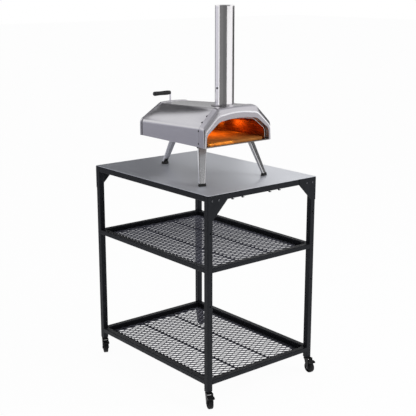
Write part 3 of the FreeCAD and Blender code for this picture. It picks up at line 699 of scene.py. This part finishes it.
# Half widths at foot, fold and roof, heights of fold and roof, rounding of both, and the roof's crown
Section = namedtuple("Section", "foot half fold roof_half roof fold_round roof_round crown")
SKIRT = Section(182.0, 182.0, 76.0, 104.0, 152.0, 20.0, 18.0, ROOF_CROWN)
LIP = Section(181.0, 177.0, 60.0, 102.0, 126.0, 40.0, 60.0, FRONT_CROWN)
MOUTH = Section(171.0, 168.0, 50.0, 98.0, 103.0, 30.0, 55.0, FRONT_CROWN)


def in_oven(x, y, z):
    """A point like at, with x measured from the oven's middle plane."""
    return at(OVEN_X + x, y, z)


def shell_share(y):
    """How far back along the shell a depth lies, from 0 to 1."""
    return (y - SHELL_FRONT) / (SHELL_BACK - SHELL_FRONT)


def shell_section(y):
    """The shell's section, which tapers to the back."""
    share = shell_share(y)
    fold, roof_half, roof = 78.0 - 12.0 * share, 100.0 - 30.0 * share, 153.0 - 21.0 * share
    return Section(SHELL_HALF, SHELL_HALF, fold, roof_half, roof, 16.0, 7.0, ROOF_CROWN)


def roof_height(y):
    """The height of the shell's crown above the floor."""
    section = shell_section(y)
    return OVEN_BASE + section.roof + section.crown


def panel_bulge(y):
    """The side panels bow out a little between the surround and the back cap."""
    share = shell_share(y)
    return BULGE * min(1.0, 0.5 + 5 * share, 0.3 + 8 * (1 - share))


def slope_inset(section, inset):
    """Fold height and the roof's half width of a section drawn inset inside another one."""
    run, rise = section.half - section.roof_half, section.roof - section.fold
    length = math.hypot(run, rise)
    in_x, in_z = -inset * rise / length, -inset * run / length
    pitch = rise / run
    fold = section.fold + in_z + pitch * (inset + in_x)
    return fold, section.half + in_x - (section.roof - inset - section.fold - in_z) / pitch


def arch(section, y, inset=0.0, bulge=0.0, bottom=0.0):
    """A section from its right foot over the crowned roof to its left foot."""
    fold, roof_half = slope_inset(section, inset)
    roof = section.roof - inset
    corners = [
        (section.foot - inset, bottom, 0),
        (section.half - inset, fold, max(section.fold_round - inset, 2.0)),
        (roof_half, roof, max(section.roof_round - inset, 1.0)),
        (-roof_half, roof, 0),
    ]
    side = round_path(corners, 8, closed=False, support=2.0)[:-1]
    # the foot, the fold's arc and its two support points
    fold_end = 12
    lower, upper = side[:fold_end], side[fold_end:]
    start = lower[-1]
    run = upper[0] - start
    out = Vector((-run.y, run.x)).normalized()
    if out.x < 0:
        out = -out
    panel = []
    for k in range(1, 8):
        share = k / 8
        panel.append(start + run * share + out * (bulge * 4 * share * (1 - share)))
    edge = upper[-1].x
    top = []
    for k in range(1, 9):
        share = 1 - k / 8
        top.append(Vector((edge * share, roof + section.crown * (1 - share ** 2))))
    half_path = lower + panel + upper + top
    mirrored = [Vector((-p.x, p.y)) for p in reversed(half_path[:-1])]
    return [in_oven(p.x, y, OVEN_BASE + p.y) for p in half_path + mirrored]


def shell_arch(y, inset=0.0, bulge=0.0, bottom=0.0):
    """The shell's own section at a depth."""
    return arch(shell_section(y), y, inset, bulge, bottom)


def between(near, far, share):
    """A station part of the way from one to another."""
    return [a.lerp(b, share) for a, b in zip(near, far)]


CHIMNEY_Y = -183.0
CHIMNEY_CENTRE = in_oven(0.0, CHIMNEY_Y, 0.0)
FLUE_RADIUS = 37.0
FLUE_CUT = (1150.0, 1260.0)
SPIGOT_RADIUS = 38.2
SPIGOT_RISE = 14.0
SPIGOT_SINK = 2.5


def cut_flue(piece):
    """Opens the flue through a sheet of the oven's roof."""
    cutter = bmesh.new()
    rod(cutter, FLUE_RADIUS, *FLUE_CUT, CHIMNEY_CENTRE, (0, 0, 1), 64)
    cut(piece, cutter)


def oven_shell():
    """Folded sheet whose front edge lies under the surround, and the chimney's spigot."""
    depths = [SHELL_FRONT + (SHELL_BACK - SHELL_FRONT) * k / 16 for k in range(17)]
    outer = [shell_arch(y, 0.0, panel_bulge(y)) for y in depths]
    inner = [shell_arch(y, SHELL_SHEET, panel_bulge(y)) for y in reversed(depths)]
    bm = bmesh.new()
    skin(bm, outer + inner, round_stations=True, closed=False)
    shell = add_mesh("oven_shell_sheet", bm, STEEL, "oven", replaces=("oven_shell",))
    cut_flue(shell)
    top, low = roof_height(CHIMNEY_Y) + SPIGOT_RISE, roof_height(CHIMNEY_Y) - SPIGOT_SINK
    profile = [(SPIGOT_RADIUS, low), (SPIGOT_RADIUS, top - 0.6), (SPIGOT_RADIUS - 0.4, top),
               (FLUE_RADIUS + 0.4, top), (FLUE_RADIUS, top - 0.6), (FLUE_RADIUS, low)]
    bm = bmesh.new()
    turned(bm, [(r * MM, z * MM) for r, z in profile], CHIMNEY_CENTRE, (0, 0, 1), 64, hollow=True)
    add_mesh("chimney_spigot", bm, STEEL, "oven")


def oven_surround():
    """Deep front pressed from sheet: skirt, a band rounding over to the bead, a face and a ribbed return."""
    bulge = panel_bulge(SHELL_FRONT)
    rear = shell_arch(SHELL_FRONT, -2.0, bulge)
    skirt = arch(SKIRT, SKIRT_FRONT)
    lip = arch(LIP, OVEN_FRONT)
    stations = [shell_arch(SHELL_FRONT, -1.2, bulge), shell_arch(SHELL_FRONT + 0.4, -1.7, bulge)]
    stations += [between(rear, skirt, share) for share in (0.0, 0.04, 0.2, 0.4, 0.6)]
    turn_from, turn_to = between(rear, skirt, 0.72), between(skirt, lip, 0.32)
    for k in range(7):
        share = k / 6
        stations.append(between(between(turn_from, skirt, share), between(skirt, turn_to, share), share))
    stations += [between(skirt, lip, share) for share in (0.5, 0.7, 0.88)]
    # the bead stands a little proud of the band and the face
    bead_from = len(stations)
    for depth, inset in ((0.9, -0.7), (-0.1, -0.9), (-0.9, -0.2), (-1.0, 1.0), (-0.6, 1.9), (0.0, 2.6)):
        stations.append(arch(LIP, OVEN_FRONT + depth, inset))
    face_from = len(stations)
    face, mouth_edge = arch(LIP, OVEN_FRONT, 3.4), arch(MOUTH, OVEN_FRONT, -1.2)
    stations += [between(face, mouth_edge, share) for share in (0.0, 0.3, 0.7, 1.0)]
    for depth, inset in ((0.2, -0.5), (0.8, -0.05), (1.6, 0.0)):
        stations.append(arch(MOUTH, OVEN_FRONT + depth, inset))
    face_to = len(stations)
    for y in MOUTH_RIBS:
        stations += [arch(MOUTH, y - 1.2), arch(MOUTH, y, 0.9), arch(MOUTH, y + 1.2)]
    # back along the inside of the sheet
    stations += [arch(MOUTH, MOUTH_BACK), arch(MOUTH, MOUTH_BACK, -1.5), arch(MOUTH, OVEN_FRONT + 2.5, -1.5)]
    lip_inside, skirt_inside = arch(LIP, OVEN_FRONT + 2.0, 3.0), arch(SKIRT, SKIRT_FRONT + 2.0, 2.0)
    stations += [lip_inside, between(lip_inside, skirt_inside, 0.9)]
    stations += [arch(SKIRT, SKIRT_FRONT + 4.0, 2.0), shell_arch(SHELL_FRONT, 0.1, bulge)]
    bm = bmesh.new()
    skin(bm, stations, round_stations=True, closed=False)
    spans = len(stations[0]) - 1
    for i, quad in enumerate(bm.faces):
        station = i // spans
        # the bead takes the lightened stainless: painted highlight
        if bead_from - 1 <= station < face_from - 1:
            quad.material_index = 1
        # the face takes the darkened stainless: painted shade
        elif face_from - 1 <= station < face_to:
            quad.material_index = 2
    name = "oven_surround"
    surround = add_mesh(name + "_sheet", bm, SHADED_SURROUND_STEEL, "oven", 40.0, replaces=(name,))
    surround.data.materials.append(BEAD_HIGHLIGHT)
    surround.data.materials.append(SHADED_STEEL)


# Bolts of the seam: places (x, z) on the slope and on the side, with the way out and the stand-off
SEAM_Y = -231.0
SEAM_BOLTS = (
    (((133.0, 121.3), (158.0, 98.5)), (0.693, 0.721), 2.0),
    (((178.0, 66.0), (178.0, 14.0)), (1.0, 0.0), 0.0),
)
BOLT_HEAD = [(0, 0, 0), (4.0, 0, 0), (4.0, 1.2, 0.7), (1.6, 2.4, 0.8), (0, 2.4, 0)]


def surround_seam():
    """Small domed heads beside the surround's rear edge, the same on both sides, and a dark strip along the
    seam that paints the shade of the gap.
    """
    head = rounded_profile(BOLT_HEAD, 3)
    bm = bmesh.new()
    for places, (out_x, out_z), stand_off in SEAM_BOLTS:
        for x, z in places:
            for hand in (-1, 1):
                base = in_oven(hand * (x + stand_off * out_x), SEAM_Y, OVEN_BASE + z + stand_off * out_z)
                turned(bm, head, base, (hand * out_x, 0, out_z), 16)
    add_mesh("surround_seam_bolts", bm, DARK_STEEL, "oven")
    # a dark strip just proud of the shell along the surround's rear edge: painted shade of the gap between
    # the sheets
    strips = []
    for y, lift in ((-236.5, -0.2), (-236.5, 0.5), (-233.0, 0.5), (-232.6, 0.2), (-232.6, -0.2)):
        strips.append(shell_arch(y, -lift, panel_bulge(max(y, SHELL_FRONT))))
    bm = bmesh.new()
    skin(bm, strips, round_stations=True, closed=False)
    add_mesh("surround_seam_painted_shade", bm, DARK_STEEL, "oven")


LINER_INSET = 16.0
LINER_SHEET = 1.2
LINER_BACK = 150.0
LINER_BOTTOM = 1.5
LINER_GAP = 0.5
DOORWAY_INSET = 4.0
RIM_RADIUS = 1.1


def oven_liner():
    """Inner arch with a doorway rim close behind the mouth."""
    front = MOUTH_BACK + LINER_GAP
    inside = front + LINER_SHEET
    depths = [inside + (LINER_BACK - inside) * k / 10 for k in range(11)]
    stations = [shell_arch(y, LINER_INSET, bottom=LINER_BOTTOM) for y in (LINER_BACK, inside, front)]
    stations += [arch(MOUTH, y, DOORWAY_INSET, bottom=LINER_BOTTOM) for y in (front, inside)]
    stations += [shell_arch(y, LINER_INSET + LINER_SHEET, bottom=LINER_BOTTOM) for y in depths]
    bm = bmesh.new()
    skin(bm, stations, round_stations=True, closed=False)
    liner = add_mesh("oven_liner_sheet", bm, LINER, "oven", replaces=("oven_liner",))
    cut_flue(liner)
    stations = []
    for k in range(8):
        turn = 2 * math.pi * k / 8
        y = front - 0.6 + RIM_RADIUS * math.cos(turn)
        inset = DOORWAY_INSET + 0.6 + RIM_RADIUS * math.sin(turn)
        stations.append(arch(MOUTH, y, inset, bottom=LINER_BOTTOM))
    bm = bmesh.new()
    skin(bm, stations, round_stations=True, closed=False)
    add_mesh("liner_doorway_rim", bm, RIM_STEEL, "oven")


def oven_stone():
    """Cordierite slab with rounded corners and eased edges."""
    low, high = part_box("baking_stone")
    eased = 0.0012
    levels = ((eased, low.z), (0.0, low.z + eased), (0.0, high.z - 0.0015), (0.0005, high.z - 0.0005),
              (0.0015, high.z))
    stations = []
    for inset, z in levels:
        corners = rectangle((low.x + inset, low.y + inset), (high.x - inset, high.y - inset), 0.012)
        stations.append([Vector((p.x, p.y, z)) for p in round_path(corners, 6)])
    bm = bmesh.new()
    skin(bm, stations)
    add_mesh("baking_stone_slab", bm, STONE, "oven", replaces=("baking_stone",))


# Oven legs: the middle of each one's web at the oven and at the foot, and the way it faces in degrees

LEG_LINES = {
    "front_left": ((-133.0, -202.0), (-173.0, -250.0), -110.0),
    "front_right": ((133.0, -202.0), (173.0, -250.0), -70.0),
    "back": ((0.0, 156.0), (0.0, 240.0), 90.0),
}
FOOT_TOP = 912.0
LEG_HEIGHT = OVEN_BASE - FOOT_TOP
LEG_SHEET = 1.8
LEG_BEND = 4.0
LEG_WIDTH, LEG_SPREAD = 26.0, 12.0
LEG_DEPTH, LEG_DEEPENING = 10.0, 3.0
PIVOT_DROP = 8.0
PIVOT_INWARDS = 6.3

# A rubber foot's margin round the leg at each height, and half a pivot pin: (radius, place, rounding)
FOOT_LEVELS = ((2.4, 900.0), (3.0, 900.8), (2.2, 907.0), (1.5, 911.2), (0.9, FOOT_TOP))
PIN_HALF = [
    (3.0, 0, 0), (3.0, 19.0, 0), (5.2, 19.0, 0), (5.2, 20.2, 0.3), (3.4, 20.2, 0), (3.4, 23.0, 0.8),
    (0, 23.0, 0),
]


def leg_at(centre, facing, along, inwards, z):
    """A point on a leg, from its web's middle, along the web and inwards from it."""
    angle = math.radians(facing)
    x = centre[0] - math.sin(angle) * along - math.cos(angle) * inwards
    y = centre[1] + math.cos(angle) * along - math.sin(angle) * inwards
    return in_oven(x, y, z)


def channel_ring(centre, facing, width, depth, z):
    """A level section of a folded channel."""
    half, inner, inner_bend = width / 2, width / 2 - LEG_SHEET, LEG_BEND - LEG_SHEET
    outside = [(-half, depth, 0), (-half, 0, LEG_BEND), (half, 0, LEG_BEND), (half, depth, 0)]
    inside = [(inner, depth, 0), (inner, LEG_SHEET, inner_bend), (-inner, LEG_SHEET, inner_bend),
              (-inner, depth, 0)]
    outline = []
    for path in (outside, inside):
        outline += round_path(path, 5, closed=False, support=1.0)
    return [leg_at(centre, facing, p.x, p.y, z) for p in outline]


def oven_legs():
    """Folded channels that taper to the foot, rounded rubber feet and pivot pins with washers."""
    for word, (top, foot, facing) in LEG_LINES.items():
        stations = []
        for share in (0.0, 0.03, 0.5, 0.97, 1.0):
            centre = [foot[i] + share * (top[i] - foot[i]) for i in range(2)]
            width, depth = LEG_WIDTH + LEG_SPREAD * share, LEG_DEPTH + LEG_DEEPENING * share
            stations.append(channel_ring(centre, facing, width, depth, FOOT_TOP + share * LEG_HEIGHT))
        bm = bmesh.new()
        skin(bm, stations)
        name = "oven_leg_" + word
        add_mesh(name + "_channel", bm, LEG_STEEL, "oven", replaces=(name,))
    half = rounded_profile(PIN_HALF, 2)
    pin = [(radius, -along) for radius, along in reversed(half)][:-1] + half[1:]
    feet, pins = bmesh.new(), bmesh.new()
    for top, foot, facing in LEG_LINES.values():
        stations = []
        for margin, z in FOOT_LEVELS:
            half_width = LEG_WIDTH / 2 + margin
            corners = rectangle((-half_width, -margin), (half_width, LEG_DEPTH + margin), 2.5)
            stations.append([leg_at(foot, facing, p.x, p.y, z) for p in round_path(corners, 4)])
        skin(feet, stations)
        share = PIVOT_DROP / LEG_HEIGHT
        centre = [top[i] + share * (foot[i] - top[i]) for i in range(2)]
        middle = leg_at(centre, facing, 0.0, PIVOT_INWARDS, OVEN_BASE - PIVOT_DROP)
        across = leg_at(centre, facing, 1.0, PIVOT_INWARDS, OVEN_BASE - PIVOT_DROP) - middle
        turned(pins, pin, middle, across, 20)
    add_mesh("oven_rubber_feet", feet, FOOT, "oven", replaces=("oven_feet",))
    add_mesh("oven_pivot_pins", pins, DARK_STEEL, "oven", replaces=("oven_leg_pins",))


# Chimney

CHIMNEY_TOP = 1620.0
CHIMNEY_OUTER = 40.0
CHIMNEY_INNER = 38.5
BAFFLE_HEIGHT = OVEN_BASE + 225.0
SPINDLE_HOLE = 2.05
FLANGE_RADIUS = 56.0
FLANGE_SHEET = 1.95


def chimney_tube():
    """Rolled tube with a hemmed top and the holes for the baffle's spindle.

    A ring of points near either end keeps the long faces' shading straight."""
    top, foot, support = CHIMNEY_TOP, roof_height(CHIMNEY_Y) + 0.6, 4.0
    corners = [
        (CHIMNEY_OUTER, foot, 0), (CHIMNEY_OUTER, foot + support, 0), (CHIMNEY_OUTER, top - support, 0),
        (CHIMNEY_OUTER, top, 0.75), (CHIMNEY_INNER, top, 0.74), (CHIMNEY_INNER, top - support, 0),
        (CHIMNEY_INNER, foot, 0),
    ]
    bm = bmesh.new()
    turned(bm, rounded_profile(corners, 4), CHIMNEY_CENTRE, (0, 0, 1), 96, hollow=True)
    tube_piece = add_mesh("chimney_tube", bm, STACK_STEEL_PAINTED_SHEEN, "chimney", replaces=("chimney",))
    bore = bmesh.new()
    rod(bore, SPINDLE_HOLE, -50.0, 50.0, in_oven(0.0, CHIMNEY_Y, BAFFLE_HEIGHT), (1, 0, 0), 16)
    cut(tube_piece, bore)


def chimney_flange():
    """A collar that follows the roof and is trimmed straight behind the surround."""
    edge, collar = FLANGE_RADIUS, CHIMNEY_OUTER - 0.2
    stations = []
    for radius, rise in ((edge, 0.35), (edge, 1.5), (edge - 0.8, 2.3), (collar, 2.3)):
        ring = []
        for k in range(96):
            turn = 2 * math.pi * k / 96
            y = max(CHIMNEY_Y + radius * math.sin(turn), SHELL_FRONT + 0.3)
            ring.append(in_oven(radius * math.cos(turn), y, roof_height(y) + rise))
        stations.append(ring)
    stations.append([p - Vector((0, 0, FLANGE_SHEET * MM)) for p in stations[-1]])
    bm = bmesh.new()
    skin(bm, stations, round_stations=True)
    # the flange takes the darkened stainless: painted shade of the gap beneath it
    add_mesh("chimney_flange", bm, SHADED_STEEL, "chimney")


# Hatch grip

def hatch_grip():
    """Moulded grip with rounded ends, a collar and shallow rings."""
    low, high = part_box("hatch_grip")
    length = (high.x - low.x) / MM
    start = Vector((low.x, (low.y + high.y) / 2, (low.z + high.z) / 2))
    corners = [
        (0, 0, 0), (9.0, 0, 3.5), (10.0, 8.0, 4.0), (9.0, length * 0.35, 20.0),
        (10.0, length * 0.8, 6.0), (9.4, length * 0.9, 2.0), (8.6, length, 2.5), (0, length, 0),
    ]
    bm = bmesh.new()
    turned(bm, rounded_profile(corners, 5), start, (1, 0, 0), 40)
    add_mesh("hatch_grip_moulding", bm, GRIP, "hatch", replaces=("hatch_grip",))


def build():
    """Dresses the kept nodes and makes every piece of the scene."""
    dress_nodes()
    frame_tubes()
    for level in ("mid", "low"):
        shelf_mesh(level)
    worktop()
    corner_screws()
    tool_hooks()
    corner_plates()
    wheels()
    fork_lips()
    oven_shell()
    oven_surround()
    surround_seam()
    oven_liner()
    oven_stone()
    oven_legs()
    chimney_tube()
    chimney_flange()
    hatch_grip()


# Stage, lamps and camera

FLOOR_WHITE = 0.96


def stage():
    """A pale floor that shows white to the camera and to glossy surfaces, and keeps a faint shadow."""
    bpy.ops.mesh.primitive_plane_add(size=60.0, location=(0, 0, -0.0005))
    floor = bpy.context.object
    floor.name = "floor"
    nodes = Surface("pale floor")
    nodes.shader.inputs["Roughness"].default_value = 0.9
    nodes.shader.inputs["Specular IOR Level"].default_value = 0.0
    shades = [(0.3, grey(0.88)), (0.7, grey(0.92))]
    nodes.link(nodes.ramp(nodes.noise(3.0), shades), nodes.shader.inputs["Base Color"])
    rays = nodes.add("ShaderNodeLightPath").outputs
    seen = nodes.combine("MAXIMUM", rays["Is Camera Ray"], rays["Is Glossy Ray"])
    share = nodes.add("ShaderNodeMath", operation="MULTIPLY")
    share.inputs[1].default_value = FLOOR_WHITE
    nodes.link(seen, share.inputs[0])
    mix = nodes.add("ShaderNodeMixShader")
    nodes.link(share.outputs[0], mix.inputs["Fac"])
    nodes.link(nodes.shader.outputs["BSDF"], mix.inputs[1])
    nodes.link(nodes.glow(WHITE).outputs["Emission"], mix.inputs[2])
    nodes.show(mix.outputs["Shader"])
    floor.data.materials.append(nodes.material)


# What glossy surfaces see: the sky by the sine of its height above the horizon, and a dark flag behind
# and above, which the shell's sloping side mirrors. It sets in between two values of each direction.
SKY = [(0.54, WHITE), (0.62, grey(0.85, 0.03)), (0.70, grey(0.62, 0.03)), (0.88, grey(0.42, 0.03)),
       (1.0, (0.30, 0.30, 0.31))]
FLAG = (("X", 0.04, 0.14), ("Y", 0.35, 0.60), ("Z", 0.30, 0.42))
FLAG_SHADE = (0.07, 0.07, 0.074)
PLAIN_LIGHT = (0.62, 0.62, 0.64)


def world():
    """White to camera and glass, the sky and its flag to gloss, plain light otherwise."""
    studio = bpy.data.worlds.new("studio")
    bpy.context.scene.world = studio
    studio.use_nodes = True
    studio.node_tree.nodes.clear()
    nodes = Tree(studio.node_tree)
    split = nodes.add("ShaderNodeSeparateXYZ")
    nodes.link(nodes.add("ShaderNodeTexCoord").outputs["Generated"], split.inputs["Vector"])
    sky = nodes.ramp(split.outputs["Z"], SKY)
    masks = [nodes.remap(split.outputs[axis], low, high, shape="SMOOTHSTEP") for axis, low, high in FLAG]
    mirrored = nodes.blend(nodes.combine("MULTIPLY", *masks), sky, FLAG_SHADE)
    rays = nodes.add("ShaderNodeLightPath").outputs
    light = nodes.blend(rays["Is Glossy Ray"], PLAIN_LIGHT, mirrored)
    seen = nodes.combine("MAXIMUM", rays["Is Camera Ray"], rays["Is Transmission Ray"])
    back = nodes.add("ShaderNodeBackground")
    nodes.link(nodes.blend(seen, light, WHITE), back.inputs["Color"])
    out = nodes.add("ShaderNodeOutputWorld")
    nodes.link(back.outputs["Background"], out.inputs["Surface"])


# Azimuth and spread in degrees from +X, reach, low and high edge in metres, level, and tint if any
CARDS = {
    "card_camera_side": (200.0, 60.0, 2.0, 0.0, 2.6, 0.185),
    "card_camera_front": (236.0, 40.0, 1.96, 0.0, 2.6, 0.14),
    "card_right": (-4.0, 58.0, 2.0, 0.0, 1.22, 0.12),
    "card_right_high": (-6.0, 54.0, 2.0, 1.22, 1.62, 0.08),
    "card_back": (73.0, 28.0, 2.2, 0.9, 1.75, 0.04),
    "card_back_middle": (50.5, 17.0, 2.2, 0.9, 1.43, 0.40),
    "card_back_high": (49.0, 20.0, 2.3, 1.44, 1.95, 0.50),
    "card_left": (130.0, 44.0, 2.2, 0.0, 0.95, 0.38, 0.12),
    "card_left_high": (120.0, 72.0, 2.25, 0.96, 1.62, 0.62, 0.08),
    "card_front_high": (-88.0, 44.0, 2.0, 1.62, 2.80, 0.34),
}


def card(name, azimuth, spread, reach, low, high, level, tint=0.0):
    """A studio card, bent round the object, that only glossy surfaces see."""
    turns = [math.radians(azimuth - spread / 2 + spread * k / 6) for k in range(7)]
    bm = bmesh.new()
    skin(bm, [[Vector((reach * math.cos(turn), reach * math.sin(turn), z)) for turn in turns]
              for z in (low, high)], closed=False, caps=False)
    data = mesh_data(name, bm)
    nodes = Surface(name + " cloth")
    nodes.tree.nodes.remove(nodes.shader)
    glow = nodes.glow()
    shades = [(0.3, grey(level * 0.95, tint)), (0.7, grey(level * 1.05, tint))]
    nodes.link(nodes.ramp(nodes.noise(2.0), shades), glow.inputs["Color"])
    nodes.show(glow.outputs["Emission"])
    data.materials.append(nodes.material)
    piece = add_object(name, data)
    piece.visible_camera = False
    piece.visible_diffuse = False
    piece.visible_shadow = False
    piece.visible_transmission = False


def lamp(name, place, aim, size, power, colour=WHITE, glossy=False):
    """A rectangular lamp, size in metres and power in watts, that gloss mirrors only if glossy is set."""
    data = bpy.data.lights.new(name, "AREA")
    data.shape = "RECTANGLE"
    data.size, data.size_y = size
    data.energy = power
    data.color = colour
    light = add_object(name, data)
    light.location = place
    light.rotation_euler = (Vector(aim) - Vector(place)).to_track_quat("-Z", "Y").to_euler()
    light.visible_glossy = glossy
    return light


FIRE = (1.0, 0.36, 0.03)
FLAME = (1.0, 0.58, 0.10)
EMBER = (1.0, 0.72, 0.16)

# Lamps of the fire: place and aim in millimetres about the oven, size, power, colour, seen in gloss
FIRE_LAMPS = {
    "flame strip": ((37.0, 50.0, 1102.0), (161.0, -100.0, 1105.0), (0.025, 0.06), 0.045, FIRE, True),
    "wall glow": ((122.0, -108.0, 1108.0), (161.0, -108.0, 1108.0), (0.02, 0.07), 0.05, FIRE, False),
    "stone glow": ((15.0, -75.0, 1150.0), (10.0, -80.0, 1075.0), (0.09, 0.09), 0.32, FIRE, False),
    "spark": ((140.0, 29.0, 1100.0), (165.0, 29.0, 1100.0), (0.02, 0.012), 0.03, FLAME, False),
}


def lamps():
    """Two studio lamps, and the small lamps of the fire, which ride on the oven."""
    middle = (0, 0, 0.8)
    lamp("key", (1.6, -2.6, 2.6), middle, (1.6, 1.6), 45)
    lamp("fill", (-3.2, -0.6, 1.6), middle, (1.8, 1.8), 12)
    hot = []
    for name, (place, aim, size, power, colour, glossy) in FIRE_LAMPS.items():
        hot.append(lamp(name, in_oven(*place), in_oven(*aim), size, power, colour, glossy))
    stone_low, stone_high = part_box("baking_stone")
    sill = Vector((OVEN_X * MM - 0.09, stone_low.y - 0.006, stone_high.z + 0.006))
    hot.append(lamp("sill glow", sill, sill - Vector((0, 0, 0.01)), (0.15, 0.003), 0.028, EMBER))
    for light in hot:
        light.visible_camera = False
        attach(light, "oven")


def camera():
    """At the photograph's viewing angle, fitted to the corners of the table's frame."""
    data = bpy.data.cameras.new("camera")
    data.lens = 80.08
    data.sensor_width = 36.0
    data.clip_end = 200.0
    view = add_object("camera", data)
    view.location = (-2.5318, -3.0939, 1.7254)
    view.rotation_euler = (math.radians(76.056), 0, math.radians(-39.459))
    bpy.context.scene.camera = view


camera()
build()
stage()
world()
for card_name, card_sizes in CARDS.items():
    card(card_name, *card_sizes)
lamps()
bpy.context.scene.view_settings.view_transform = "Standard"
